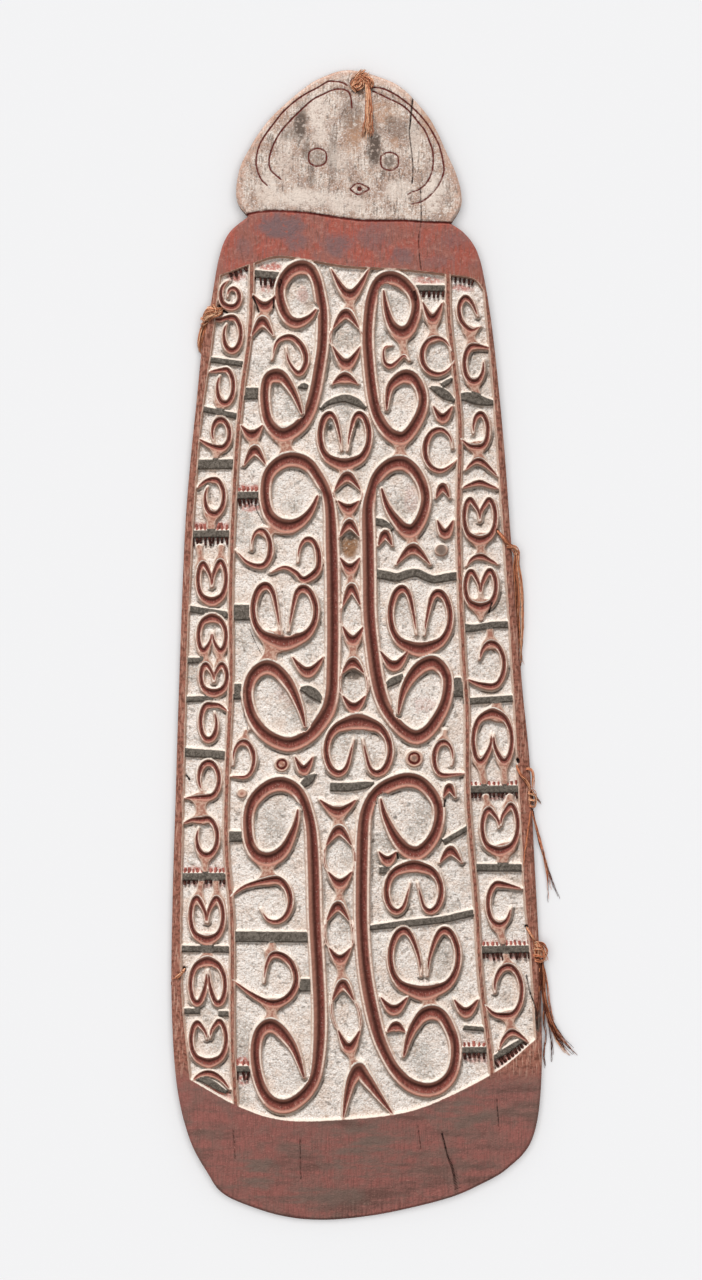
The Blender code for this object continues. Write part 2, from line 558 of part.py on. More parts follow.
def back_height(x, y, margin):
    """Height of the hollow at a place that is this far in from the outline."""
    way_in = min(1.0, max(0.0, (margin - SEAT_WIDTH) / HOLLOW_BLEND))
    return HOLLOW_DEPTH * bulge(x, y) * way_in * way_in * (3 - 2 * way_in)


def shrunk(outline, distance):
    """The outline drawn in by a distance, with the points that come too close left out."""
    before, after = np.roll(outline, 1, axis=0), np.roll(outline, -1, axis=0)
    along = after - before
    along /= np.linalg.norm(along, axis=1)[:, None]
    inward = np.column_stack([-along[:, 1], along[:, 0]])
    area = 0.5 * np.sum(outline[:, 0] * after[:, 1] - after[:, 0] * outline[:, 1])
    moved = outline + inward * distance * (1 if area > 0 else -1)
    return moved[distance_to(moved, outline) > distance * 0.97]


def material(name, colour, roughness):
    made = bpy.data.materials.new(name)
    made.use_nodes = True
    shader = made.node_tree.nodes["Principled BSDF"]
    shader.inputs["Base Color"].default_value = (*colour, 1)
    shader.inputs["Roughness"].default_value = roughness
    return made


def in_collection(made, collection):
    for old in list(made.users_collection):
        old.objects.unlink(made)
    collection.objects.link(made)
    return made


def tube(name, points, radii, sides=6, wide=1.0):
    """A closed tube along points, with its radius at each, as a mesh object."""
    curve = bpy.data.curves.new(name, "CURVE")
    curve.dimensions = "3D"
    curve.bevel_depth = 1.0
    curve.bevel_resolution = (sides - 4) // 2
    curve.use_fill_caps = True
    spline = curve.splines.new("POLY")
    spline.points.add(len(points) - 1)
    for place, co, radius in zip(spline.points, points, radii):
        place.co = (*co, 1)
        place.radius = radius
    drawn = bpy.data.objects.new(name, curve)
    bpy.context.scene.collection.objects.link(drawn)
    evaluated = drawn.evaluated_get(bpy.context.evaluated_depsgraph_get())
    mesh = bpy.data.meshes.new_from_object(evaluated)
    bpy.data.objects.remove(drawn)
    bm = bmesh.new()
    bm.from_mesh(mesh)
    bmesh.ops.remove_doubles(bm, verts=bm.verts, dist=1e-5)
    for v in bm.verts:
        v.co.x *= wide
    bmesh.ops.recalc_face_normals(bm, faces=bm.faces)
    bm.to_mesh(mesh)
    bm.free()
    mesh.shade_smooth()
    mesh.name = name
    made = bpy.data.objects.new(name, mesh)
    bpy.context.scene.collection.objects.link(made)
    return made


def grip_bar():
    """The handle along the middle of the back. Its ends run up into the board."""
    radius = GRIP_THICKNESS / 2
    low = GRIP_FLOOR_GAP + radius
    half = GRIP_OPENING / 2 + radius
    y0 = (MIDDLE_ROW - 640) * SQUARE
    top = HOLLOW_DEPTH + radius * 0.6
    bend = GRIP_ROOT * 0.4
    profile = [(-half - bend, top), (-half - bend * 0.5, (top + low) / 2), (-half, low + radius * 0.4),
               (-half + bend, low), (half - bend, low), (half, low + radius * 0.4),
               (half + bend * 0.5, (top + low) / 2), (half + bend, top)]
    points = [(0, y0 + y, z) for y, z in profile]
    return tube("grip bar", points, [radius] * len(points), sides=10, wide=GRIP_WIDTH / GRIP_THICKNESS)


def edge_at(y, outline, side):
    """Where the outline crosses a height, on the left for -1 and on the right for 1, in metres."""
    found = []
    for a, b in zip(outline, np.roll(outline, -1, axis=0)):
        if (a[1] > y) != (b[1] > y):
            found.append(a[0] + (b[0] - a[0]) * (y - a[1]) / (b[1] - a[1]))
    return min(found) if side < 0 else max(found)


def through_hole(tie, outline):
    """The first stretch of a tie: from behind the board up through its hole and over the face."""
    (hx, hy), = to_board([tie["hole"]])
    thread = HOLE_DIAMETER / 2 - TIE_PLAY
    behind = back_height(hx, hy, float(distance_to(np.array([[hx, hy]]), outline)[0]))
    first = tie["face"][0][2]
    points = [(hx, hy, behind + TIE_PLAY), (hx, hy, front_height(hx, hy) + first + TIE_PLAY)]
    radii = [thread, thread]
    for column, row, radius in tie["face"]:
        (x, y), = to_board([(column, row)])
        points.append((x, y, front_height(x, y) + radius + TIE_PLAY))
        radii.append(radius)
    return points, radii


def over_edge(tie, outline):
    """The stretch that turns round the top corner of the board's edge."""
    row, side = tie["edge"]
    y = (MIDDLE_ROW - row) * SQUARE
    x = edge_at(y, outline, side)
    radius = tie["face"][-1][2]
    swing = radius + TIE_PLAY * 3
    top = front_height(x, y)
    points = []
    for step, degrees in enumerate((80, 50, 20)):
        angle = math.radians(degrees)
        points.append((x + side * swing * math.cos(angle), y - step * radius * 0.5, top + swing * math.sin(angle)))
    return points, [radius] * len(points)


def beside(tie, lock, outline):
    """The stretch of a lock that hangs down beside the board, clear of its edge and of the ground."""
    side = tie["edge"][1]
    points, radii = [], []
    for off, row, share, radius in lock:
        y = (MIDDLE_ROW - row) * SQUARE
        x = edge_at(y, outline, side) + side * (radius + TIE_PLAY * 2 + off * SQUARE)
        points.append((x, y, max(share * EDGE_THICKNESS, radius + TIE_PLAY)))
        radii.append(radius)
    return points, radii


def tie_solid(name, tie, outline):
    """One fused solid for a tie: the first lock carries on from the hole, the others join it."""
    points, radii = through_hole(tie, outline)
    extra = []
    if "edge" in tie:
        for stretch in (over_edge(tie, outline), beside(tie, tie["locks"][0], outline)):
            points += stretch[0]
            radii += stretch[1]
        extra = [tube(name + " lock", *beside(tie, lock, outline)) for lock in tie["locks"][1:]]
    return tube(name, points, radii), extra


def hole_cutter(name, tie):
    (x, y), = to_board([tie["hole"]])
    height = EDGE_THICKNESS + CROWN
    bpy.ops.mesh.primitive_cylinder_add(vertices=8, radius=HOLE_DIAMETER / 2, depth=height * 2,
                                        location=(x, y, height / 2))
    cutter = bpy.context.object
    cutter.name = name + " hole"
    return cutter


def boolean(target, other, operation):
    step = target.modifiers.new(operation.lower() + " " + other.name, "BOOLEAN")
    step.operation = operation
    step.solver = "EXACT"
    step.object = other


def centre_on_origin(made, helpers):
    """Puts the origin under the middle of the whole shield."""
    bpy.context.view_layer.update()
    depsgraph = bpy.context.evaluated_depsgraph_get()
    corners = []
    for piece in made:
        evaluated = piece.evaluated_get(depsgraph)
        corners += [evaluated.matrix_world @ Vector(corner) for corner in evaluated.bound_box]
    shift = [-(min(c[axis] for c in corners) + max(c[axis] for c in corners)) / 2 for axis in (0, 1)]
    for piece in made + helpers:
        piece.location.x += shift[0]
        piece.location.y += shift[1]


def build():
    for old in list(bpy.data.objects):
        bpy.data.objects.remove(old, do_unlink=True)
    shield = bpy.data.collections.new("Asmat shield")
    cutters = bpy.data.collections.new("Cutters")
    bpy.context.scene.collection.children.link(shield)
    bpy.context.scene.collection.children.link(cutters)

    wood = material("carved wood", (0.34, 0.14, 0.09), 0.85)
    fibre = material("plant fibre", (0.42, 0.17, 0.05), 0.9)

    outline = edge_curve([HEAD_OUTLINE, BODY_OUTLINE])
    board = bpy.data.objects.new("board", carved_board(outline))
    shield.objects.link(board)
    board.data.materials.append(wood)
    helpers = [in_collection(grip_bar(), cutters)]
    boolean(board, helpers[0], "UNION")
    parts = [board]
    for name, tie in TIES.items():
        piece, locks = tie_solid(name, tie, outline)
        in_collection(piece, shield)
        piece.data.materials.append(fibre)
        for lock in locks:
            helpers.append(in_collection(lock, cutters))
            boolean(piece, lock, "UNION")
        parts.append(piece)
        cutter = in_collection(hole_cutter(name, tie), cutters)
        boolean(board, cutter, "DIFFERENCE")
        helpers.append(cutter)
    for helper in helpers:
        helper.hide_render = True
        helper.display_type = "WIRE"
    centre_on_origin(parts, helpers)


build()
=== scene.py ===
# Asmat shield: the carved, painted board and its fibre ties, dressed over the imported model.
import math

import bpy
import numpy as np
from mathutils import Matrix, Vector


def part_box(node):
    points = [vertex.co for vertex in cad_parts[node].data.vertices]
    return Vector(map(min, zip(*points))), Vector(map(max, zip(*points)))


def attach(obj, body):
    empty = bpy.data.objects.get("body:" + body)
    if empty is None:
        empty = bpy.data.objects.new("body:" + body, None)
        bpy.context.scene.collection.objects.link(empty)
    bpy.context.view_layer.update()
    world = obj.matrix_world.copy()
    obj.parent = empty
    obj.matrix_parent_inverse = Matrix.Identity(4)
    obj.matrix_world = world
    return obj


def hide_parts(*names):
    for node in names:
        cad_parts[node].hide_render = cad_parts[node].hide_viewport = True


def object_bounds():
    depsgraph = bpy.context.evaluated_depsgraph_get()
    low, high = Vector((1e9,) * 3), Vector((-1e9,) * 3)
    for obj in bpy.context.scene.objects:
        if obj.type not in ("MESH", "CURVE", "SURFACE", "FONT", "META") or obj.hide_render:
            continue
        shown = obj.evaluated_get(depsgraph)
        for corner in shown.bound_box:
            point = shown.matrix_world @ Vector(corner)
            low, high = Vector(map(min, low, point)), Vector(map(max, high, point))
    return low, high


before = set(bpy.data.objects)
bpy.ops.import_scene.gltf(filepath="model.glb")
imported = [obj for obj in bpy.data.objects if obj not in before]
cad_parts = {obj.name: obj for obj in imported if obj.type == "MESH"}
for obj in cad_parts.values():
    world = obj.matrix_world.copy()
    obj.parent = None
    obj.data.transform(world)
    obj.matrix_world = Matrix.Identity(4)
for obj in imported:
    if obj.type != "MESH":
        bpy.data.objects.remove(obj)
cadLow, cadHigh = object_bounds()
boardLow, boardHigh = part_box("board")
scene = bpy.context.scene

# The carving is laid out in squares: columns to the right, rows towards the foot.
layout = {"square": 2.0 / 1154, "tall": 1154, "leftmost": 170.82, "top": 68.0, "foot": 1222.01}


def toX(column):
    return boardLow.x + (column - layout["leftmost"]) * layout["square"]


def toY(row):
    return boardHigh.y - (row - layout["top"]) * (boardHigh.y - boardLow.y) / (layout["foot"] - layout["top"])


def colour(r, g, b):
    return tuple(((c / 255 + 0.055) / 1.055) ** 2.4 for c in (r, g, b)) + (1.0,)


# Camera, lights and floor
studio = {
    "lens": 100.0, "frameRows": 1280, "middle": (351, 640), "focusHeight": 0.035,
    "keyPlace": (-0.85, 3.4, 2.9), "keyPower": 3.15, "keySoftness": 16, "worldLight": 0.40,
    "sweepPlace": (0.0, 0.5, 4.0), "sweepPower": 2.0, "sweepSoftness": 70,
    "floorColour": (240, 240, 241), "floorSize": 26.0, "floorRoughness": 0.9,
}


def setStudio():
    cameraData = bpy.data.cameras.new("photoCamera")
    cameraData.lens = studio["lens"]
    camera = bpy.data.objects.new("photoCamera", cameraData)
    scene.collection.objects.link(camera)
    viewHeight = studio["frameRows"] * layout["square"]
    away = viewHeight * studio["lens"] / cameraData.sensor_width
    camera.location = (toX(studio["middle"][0]), toY(studio["middle"][1]), studio["focusHeight"] + away)
    scene.camera = camera

    # the key light models the carving, the sweep light is for the floor alone
    lights = {}
    for name in ("key", "sweep"):
        data = bpy.data.lights.new(name + "Light", "SUN")
        data.energy = studio[name + "Power"]
        data.angle = math.radians(studio[name + "Softness"])
        lights[name] = bpy.data.objects.new(name + "Light", data)
        lights[name].location = studio[name + "Place"]
        lights[name].rotation_euler = (-Vector(studio[name + "Place"])).to_track_quat("-Z", "Y").to_euler()
        scene.collection.objects.link(lights[name])
    world = bpy.data.worlds.new("studioWorld")
    world.use_nodes = True
    sky = world.node_tree.nodes["Background"].inputs
    sky["Color"].default_value, sky["Strength"].default_value = (1, 1, 1, 1), studio["worldLight"]
    scene.world = world
    scene.view_settings.view_transform = "Standard"

    half = studio["floorSize"] / 2
    floorMesh = bpy.data.meshes.new("floor")
    floorMesh.from_pydata([(-half, -half, 0), (half, -half, 0), (half, half, 0), (-half, half, 0)], [], [(0, 1, 2, 3)])
    floor = bpy.data.objects.new("floor", floorMesh)
    scene.collection.objects.link(floor)
    floorMaterial = bpy.data.materials.new("paleFloor")
    floorMaterial.use_nodes = True
    shader = floorMaterial.node_tree.nodes["Principled BSDF"]
    shader.inputs["Base Color"].default_value = colour(*studio["floorColour"])
    shader.inputs["Roughness"].default_value = studio["floorRoughness"]
    shader.inputs["Specular IOR Level"].default_value = 0.0
    floorMesh.materials.append(floorMaterial)
    for name, state in (("key", "EXCLUDE"), ("sweep", "INCLUDE")):
        lit = bpy.data.collections.new(name + "Floor")
        lit.objects.link(floor)
        lit.collection_objects[0].light_linking.link_state = state
        lights[name].light_linking.receiver_collection = lit


setStudio()
print("studio ready")

# Outline of the board, and the lines that the carving follows
outlines = {
    "headLeft": [(248, 216), (238, 203), (236, 188), (240, 166), (249, 148), (260, 130), (275, 112), (302, 88),
                 (321, 76), (348, 68), (382, 76)],
    "headRight": [(321, 76), (348, 68), (382, 76), (404, 88), (426, 112), (437, 130), (446, 150), (456, 172),
                  (461, 190), (461, 206), (451, 223)],
    "bodyRight": [(451, 223), (465, 233), (477, 250), (485, 280), (494, 340), (504, 440), (510, 520), (516, 600),
                  (523, 690), (530, 760), (534.5, 850), (541, 980), (542, 1080), (533, 1140), (508, 1170),
                  (477, 1188), (448, 1200), (401, 1212), (362, 1219), (320, 1222), (282, 1218)],
    "bodyLeft": [(362, 1219), (320, 1222), (282, 1218), (244, 1206), (221, 1194), (208, 1176), (189, 1140),
                 (176, 1084), (171, 1000), (172, 900), (175, 800), (178, 700), (184, 540), (190, 460), (196, 402),
                 (202, 345), (211, 300), (219, 256), (229, 232), (248, 216)],
    "panelTop": [(220, 275), (229, 272), (252, 264), (275, 257), (300, 259), (345, 267), (400, 270), (450, 275),
                 (474, 279), (484, 290)],
    "panelRight": [(484, 290), (494, 400), (501, 500), (511, 650), (520, 810), (525, 900), (531, 960), (536, 1040)],
    "panelBottom": [(190, 1080), (240, 1107), (285, 1120), (345, 1119), (400, 1113), (440, 1100), (497, 1071),
                    (536, 1040)],
    "panelLeft": [(220, 275), (211, 350), (199, 440), (189, 600), (183, 800), (181, 975), (190, 1080)],
    "neckGroove": [(247, 214), (260, 211.5), (275, 211), (295, 212), (310, 213.5), (325, 216), (345, 219),
                   (365, 221), (405, 221), (425, 222), (452, 222.5)],
}
ridges = [
    [(252, 255), (250, 330), (241, 400), (235, 480), (231, 580), (231, 680), (227, 780), (226.5, 850),
     (232, 920), (232.5, 1040), (236, 1112)],
    [(448, 265), (449, 320), (458, 400), (460, 440), (458.5, 530), (463, 650), (467, 710), (468, 800),
     (476, 900), (481, 980), (491, 1060), (492, 1085)],
]
scrolls = [
    [(316, 310), (311.5, 316), (305.5, 320.5), (297, 323.5), (290, 320.5), (285, 313.5), (281, 303), (279.5, 291),
     (283, 280), (291, 270.5), (302, 266.5), (311.5, 270.5), (317, 281), (320, 295), (322.5, 312), (322.8, 330),
     (321.8, 350), (318.5, 371), (314.8, 392), (309, 411.5), (301, 424.5), (291.5, 432), (282.5, 435), (274, 429.5),
     (267.5, 419), (265, 405), (264.6, 392), (266.5, 381), (271.5, 376), (278, 375), (284, 378), (290, 386),
     (295.5, 396), (299, 405), (302, 414)],
    [(317.5, 496), (313, 507), (306.5, 516.5), (298.5, 523), (289, 526), (278.8, 523.7), (270, 515.5), (265.7, 503),
     (265, 489), (267.5, 476), (275, 466), (286.8, 459.5), (299.5, 460), (310.5, 465.8), (318.3, 476.5),
     (325.2, 489), (329, 502), (330.8, 520), (331.6, 545), (332.5, 575), (332.8, 605), (333, 640), (332.4, 670),
     (331.8, 690), (328.2, 708), (320.5, 721.5), (312, 731.8), (301.5, 739.5), (289, 743.5), (275, 739.5),
     (263, 731), (253.5, 718), (248.3, 703), (247.5, 690), (251, 678), (258.5, 669.5), (267, 666), (276, 669),
     (284.3, 676.5), (291.8, 687.2), (297.7, 700.5), (302, 713), (305, 726)],
    [(298, 809), (296, 822), (291, 835.5), (285, 847.5), (276.5, 855.5), (266, 858.5), (256.5, 854), (250, 843),
     (247.8, 828), (248.3, 813), (253, 800.5), (262, 790.5), (273, 784), (284.3, 783), (295.6, 788.3), (303, 797.8),
     (307.5, 810.5), (311, 826), (312.7, 846), (314, 880), (315, 920), (317.5, 965), (319.4, 1005), (319.4, 1035),
     (317.8, 1058), (314.6, 1077), (307.2, 1091), (295.2, 1101.8), (284, 1106), (273, 1103), (264.5, 1093.5),
     (258.5, 1079), (255.3, 1062), (255.3, 1046), (258.5, 1033.5), (265, 1026), (272, 1024.5), (279.3, 1028.6),
     (286.6, 1036.4), (293.8, 1047), (299, 1060), (304, 1077)],
    [(383.5, 291), (385, 303), (388, 316), (393, 327), (401, 333.3), (408.3, 330), (413.5, 319.5), (415.9, 307),
     (413.5, 295), (407, 285.8), (399.2, 280), (391, 277.5), (382.5, 279.5), (375.5, 287), (371, 300), (368.4, 318),
     (367.3, 340), (368.6, 362), (370.7, 383), (374, 404), (380, 421), (389.8, 434), (401, 438.8), (407.8, 434.3),
     (414.8, 424.5), (420.8, 412), (422.8, 399), (419.5, 386.5), (413, 378), (404, 376), (396, 380.5), (389.7, 387),
     (387.2, 397), (386.5, 410)],
    [(381.5, 489), (385, 501), (390, 511.5), (397.3, 521.5), (404, 529), (411, 531), (417, 525.5), (422.5, 514),
     (425.4, 500), (423.5, 487.5), (419, 477), (412, 468), (402, 462.5), (390.5, 464.5), (381.5, 471.2),
     (374.8, 480.7), (370.8, 493), (367.5, 510), (368, 540), (368.6, 575), (369.2, 615), (372.6, 650), (377, 680),
     (383.5, 702.8), (393.4, 719.4), (404.8, 731), (416, 736.5), (427, 731), (436, 719.5), (443.3, 706), (447, 691),
     (447, 677), (442, 667.5), (433, 661.5), (422, 665), (412.4, 674), (404.8, 686.2), (400.5, 699), (398, 713)],
    [(380.5, 798), (383.5, 811), (388.5, 823), (395.6, 836.3), (405.4, 848.3), (416, 852.3), (426, 846),
     (434.4, 833.5), (438.5, 818), (437.5, 803), (430.2, 790.5), (419.4, 781.2), (406, 778.6), (392.5, 782.3),
     (379.8, 789.2), (370.2, 800.4), (364.7, 815), (362.8, 833), (362, 860), (361.5, 890), (361.8, 925),
     (364.5, 965), (369.6, 998), (377.6, 1032), (385.9, 1053), (395.8, 1070), (410, 1084), (427, 1089.4),
     (440.7, 1085.5), (450.6, 1075), (455, 1059), (454.6, 1042), (449.8, 1027.8), (442.7, 1015.8), (433, 1011),
     (422.2, 1014.5), (413.2, 1026.5), (407.7, 1039), (403.5, 1056)],
]
greatCrescent = [(343, 1118), (346, 1099), (351, 1080), (359, 1070), (368, 1080), (381, 1098), (392, 1113)]


def loop(x, y, rx, ry, tip, end, tuck=0.9):
    # points round an oval from one clock hour to another, the tip tucked in
    points = []
    for hour in np.linspace(tip, end, max(3, math.ceil(abs(end - tip) / 1.3) + 1)):
        pull = 1 - (1 - tuck) * max(0, 1 - abs(hour - tip) / 3) ** 1.3
        angle = math.radians(30 * hour)
        points.append((x + pull * rx * math.sin(angle), y - pull * ry * math.cos(angle)))
    return points


def heart(left, right, top, bottom, tip=1.0, gap=1.0, lift=0.0, bowl=0.045):
    # two curled lobes and the thicker bowl between them, upside down where bottom is the smaller row
    lobe = [(0.44, 0.58), (0.40, 0.34), (0.31, 0.10), (0.20, 0), (0.09, 0.08), (0.02, 0.27), (0, 0.47),
            (0.04, 0.70), (0.15, 0.89), (0.31, 0.98)]
    half = [(0.5 - (0.5 - u) * (gap if i < 2 else 1), v * (tip if i < 2 else 1)) for i, (u, v) in enumerate(lobe)]
    whole = [(u, v, 0) for u, v in half] + [(0.5, 1.03, 0)] + [(1 - u, v, lift) for u, v in half[::-1]]
    swell = abs(bottom - top) * bowl
    return [(left + u * (right - left), top + v * (bottom - top) + side * (1 - v),
             swell * max(0, 1 - abs(u - 0.5) / 0.42) if v > 0.6 and 2 < number < len(whole) - 3 else 0)
            for number, (u, v, side) in enumerate(whole)]


def vee(x, y, width, rise):
    # a crescent with its point at (x, y), its arms rising, or falling where rise is negative
    half = [(0.5, 1.0), (0.3, 0.45), (0.12, 0.08)]
    return [(x - u * width, y - v * rise) for u, v in half] + [(x, y)] + [
        (x + u * width, y - v * rise) for u, v in half[::-1]]


def ovalSide(upper, lower, side):
    # a thin ridge from an arm of the upper crescent to the arm below it
    x0, y0 = upper[0] + side * upper[2] / 2, upper[1] - upper[3] - 1
    x1, y1 = lower[0] + side * lower[2] / 2, lower[1] - lower[3] + 1
    return [(x0, y0)] + [(x0 + (x1 - x0) * t + side * 2.4, y0 + (y1 - y0) * t) for t in (0.3, 0.7)] + [(x1, y1)]


mediumCurls = [
    [(272, 360), (277, 342), (291, 337), (303, 348), (306, 363), (299, 374), (289, 362), (286, 348)],
    [(391, 346), (384, 348), (384, 362), (390, 367), (397, 362), (404, 355.5), (409, 361)],
    loop(260.5, 548, 10, 18.5, 8.8, 18.4) + [(247, 562), (236, 550)],
    [(271, 572), (285, 567), (297, 573), (304, 580)] + loop(308.5, 559, 10.5, 20.5, 16.2, 8.7, 1),
    heart(253, 316, 585, 640, 1.42, 1.15, 3, 0.08),
    heart(390, 450, 588, 647, 1.35, 1.1, 4, 0.06),
    heart(320, 369, 414, 463, 1.3, 1.0),
    heart(326, 390, 773, 722, 1.15, 1.2, 0, 0.09),
    [(231, 896), (245, 886)] + loop(275, 900, 15.5, 21.5, 11.5, 20.2, 1),
    [(264, 982), (266, 966), (272, 954), (283, 955), (293, 965), (296, 982), (288, 997), (272, 1003), (252, 994),
     (233, 980)],
    heart(386, 441, 911, 866, 1.1, 1.2),
    heart(390, 458, 929, 990, 1.3, 0.8, 0, 0.06),
    loop(437.5, 356, 16, 18.5, 14.4, 4.6) + [(454, 361)],
    loop(440, 450, 15.5, 21, 14.8, 4.6, 0.8) + [(457, 459)],
    loop(443.5, 758, 9.8, 17, 15.9, 6.4) + [(455, 774), (465, 773)],
    [(233, 765)] + loop(243.5, 759, 10.5, 18, 8.7, 17.6, 1) + [(231, 776)],
]
smallCurls = [
    loop(232, 297, 7.5, 10, 9.2, 18.2, 0.6) + [(224, 304), (220.5, 296), (222, 286), (228, 280)],
    loop(232, 333.5, 8.8, 17, 10.4, -0.3) + [(219, 319), (209, 317)],
    loop(225, 386, 8.3, 17.5, 10.5, -0.6) + [(209, 371)],
    loop(220.5, 433.5, 9, 14.5, 7.8, 18.4) + [(208, 444), (198, 438)],
    loop(214, 496.5, 9.8, 17.8, 10.4, -0.4) + [(205, 481), (197, 487)],
    heart(197.5, 226, 563, 600, 1.12, 0.35, -2),
    heart(198, 226, 651, 618, 1.0, 0.5),
    heart(200.5, 227, 664, 692, 1.1, 0.35),
    loop(208.5, 722, 8.3, 18, 1.7, 12.6) + [(219, 705), (228, 711)],
    loop(208.5, 779.5, 10.5, 17.5, 7.5, 17.4) + [(200, 797.5), (185, 798)],
    loop(206.5, 837, 10.8, 18.8, 10.0, -0.8) + [(192, 820), (182, 824)],
    heart(190, 223, 898, 939, 1.05, 0.45),
    heart(190, 225, 1004, 962, 1.3, 0.6),
    heart(190.5, 226, 1023, 1062, 0.75, 0.75, -2),
    [(192, 1081), (200, 1075), (210, 1073.5), (221, 1079), (230, 1090)],
    [(480, 326), (471, 330), (461, 320), (459, 306), (465, 297), (472, 302), (478, 316)],
    [(492, 348)] + loop(474, 363.5, 9.8, 18.5, 12.3, 2.6, 1),
    loop(480.5, 430, 7.5, 17, 8.6, 18.2, 1) + [(470, 446), (461, 439)],
    [(465, 470), (472, 463), (478, 460), (486, 464), (498, 476)],
    [(462, 488), (469, 485), (480, 482), (489, 485), (498, 488)],
    heart(464, 495.5, 499, 539, 0.95, 0.25),
    [(466, 566), (473, 558), (482, 556), (490, 560), (498, 564)],
    heart(465, 496, 571, 606, 1.15, 0.4, -1),
    loop(491, 664.5, 13.3, 22, 9.5, 17.6) + [(479, 684), (467, 679)],
    heart(473, 512, 762, 714, 1.0, 0.55),
    heart(482, 518, 809, 850, 0.8, 0.5, -4),
    [(522, 889)] + loop(499.5, 903.5, 11.8, 22, 12.4, 3.4),
    [(495, 993)] + loop(508, 991.5, 14, 25, 9.8, 18.4, 1) + [(494, 1014), (485, 1005)],
    [(499, 1050), (503, 1040), (511, 1032.5), (519, 1035), (529, 1043)],
]
# Crescents: column and row of the point, width, rise
crescents = [
    (350, 295, 38, 26), (346, 314, 26, -15), (346.5, 364.5, 28, 18), (345, 377.5, 25, -7),
    (347.5, 476.5, 26, -14), (348.5, 509, 21, 8), (349.5, 524, 20, -13), (350, 568.5, 20, 11),
    (351.5, 588, 18, -18), (353, 640, 21, 14), (353, 662, 22, -11), (354, 707, 23, 12),
    (338, 811, 36, 12), (339, 829, 26, -16), (340, 882.5, 24, 12), (338, 905, 23, -15), (340, 958.5, 22, 12),
    (343, 983, 22, -17), (349, 1047, 22, 18),
    (265, 306.5, 24, 12), (262.5, 321, 22, -15), (252, 435, 22, 10), (255, 450, 22, -15),
    (308, 671.5, 31, 15), (304, 769, 18, 13), (432.5, 319, 20, 17), (442.5, 418, 19, 12),
    (442.5, 487, 14, -11), (445, 534, 16, 14), (385, 534, 14, -12), (413, 548.5, 34, -16),
    (394, 665.5, 28, 15), (449, 787, 12, -10), (387.5, 859.5, 18, 9), (450.5, 850, 22, -12),
    (394, 1009, 27, 13), (396, 1025, 18, -6), (466, 1012, 24, 13),
]
# Pairs of crescents, by number, that thin ridges close into ovals
ovals = [(1, 2), (4, 5), (6, 7), (8, 9), (10, 11), (13, 14), (15, 16), (17, 18)]
# Necks between one band and the next: both ends, then the half width at each
necks = [
    (350, 297, 350, 310, 6, 4), (346, 366, 346, 378, 5, 4), (348, 511, 348, 524, 4, 4),
    (350, 570, 351, 588, 4, 3), (353, 642, 353, 662, 5, 4), (338, 813, 339, 829, 7, 4),
    (340, 885, 339, 900, 5, 3), (340, 960, 342, 983, 4, 5), (350, 1048, 353, 1062, 6, 2),
    (265, 308, 262, 321, 5, 5), (253, 437, 255, 450, 5, 4), (433, 320, 433, 337, 5, 4),
    (284, 437, 287, 453, 9, 6), (291, 529, 263, 532, 3, 3), (267, 861, 268, 876, 8, 7),
    (272, 1006, 271, 1020, 7, 5), (274, 643, 268, 660, 12, 6), (270, 951, 272, 944, 5, 3),
    (401, 336, 404, 352, 7, 3), (400, 441, 400, 456, 6, 5), (411, 536, 413, 547, 6, 4),
    (428, 993, 430, 1007, 8, 6), (345, 466, 346, 476, 8, 4),
    (219, 402, 219, 410, 4, 3), (217, 450, 215, 459, 5, 2), (211, 516, 211, 527, 6, 4),
    (201, 564, 199, 547, 4, 3), (220, 562, 221, 547, 4, 3), (204, 652, 206, 664, 4, 4),
    (219, 652, 220, 663, 4, 4), (200, 800, 201, 817, 7, 6), (205, 858, 205, 870, 5, 3),
    (198, 899, 201, 882, 4, 3), (217, 899, 216, 882, 4, 3), (207, 940, 207, 948, 5, 4),
    (206, 960, 207, 952, 7, 4), (470, 333, 472, 344, 6, 4), (474, 384, 476, 393, 5, 4),
    (477, 448, 479, 458, 7, 4), (480, 540, 481, 552, 7, 3), (480, 607, 481, 619, 9, 2),
    (490, 642, 490, 630, 6, 3), (480, 762, 484, 782, 5, 3), (504, 763, 505, 782, 5, 3),
    (488, 808, 486, 797, 4, 3), (508, 805, 510, 797, 4, 3), (505, 851, 503, 862, 8, 5),
    (499, 927, 503, 942, 6, 3), (508, 964, 506, 956, 4, 3), (509, 1018, 511, 1031, 6, 4),
    (498, 715, 497, 703, 6, 4), (443, 740, 445, 731, 4, 2), (244, 740, 246, 731, 4, 2),
]
# Charcoal bars: both ends and the thickness
bars = [
    (206, 358, 247, 364, 5), (203, 408, 239, 416, 5), (194, 463.5, 236, 463.5, 9), (188, 608, 232, 615, 6),
    (186, 660, 202, 660, 5), (186, 699, 212, 698, 5), (184, 752, 229, 755, 8), (181, 949, 233, 949, 6),
    (180, 1011.5, 199, 1011.5, 5), (219, 1013.5, 233, 1013.5, 5), (242, 393, 265, 393, 11),
    (232, 612, 251, 612, 15), (230, 691, 242, 691, 15), (227, 836, 246, 836, 10), (233, 936, 314, 936, 10),
    (300, 984, 317, 984, 12), (458, 678, 458, 696, 8),
    (380, 869, 397, 869, 6), (444, 841, 470, 826, 4.5), (464, 1027, 483, 1029, 4), (464, 701, 514, 698, 6),
    (474, 867, 526, 868, 7),
]
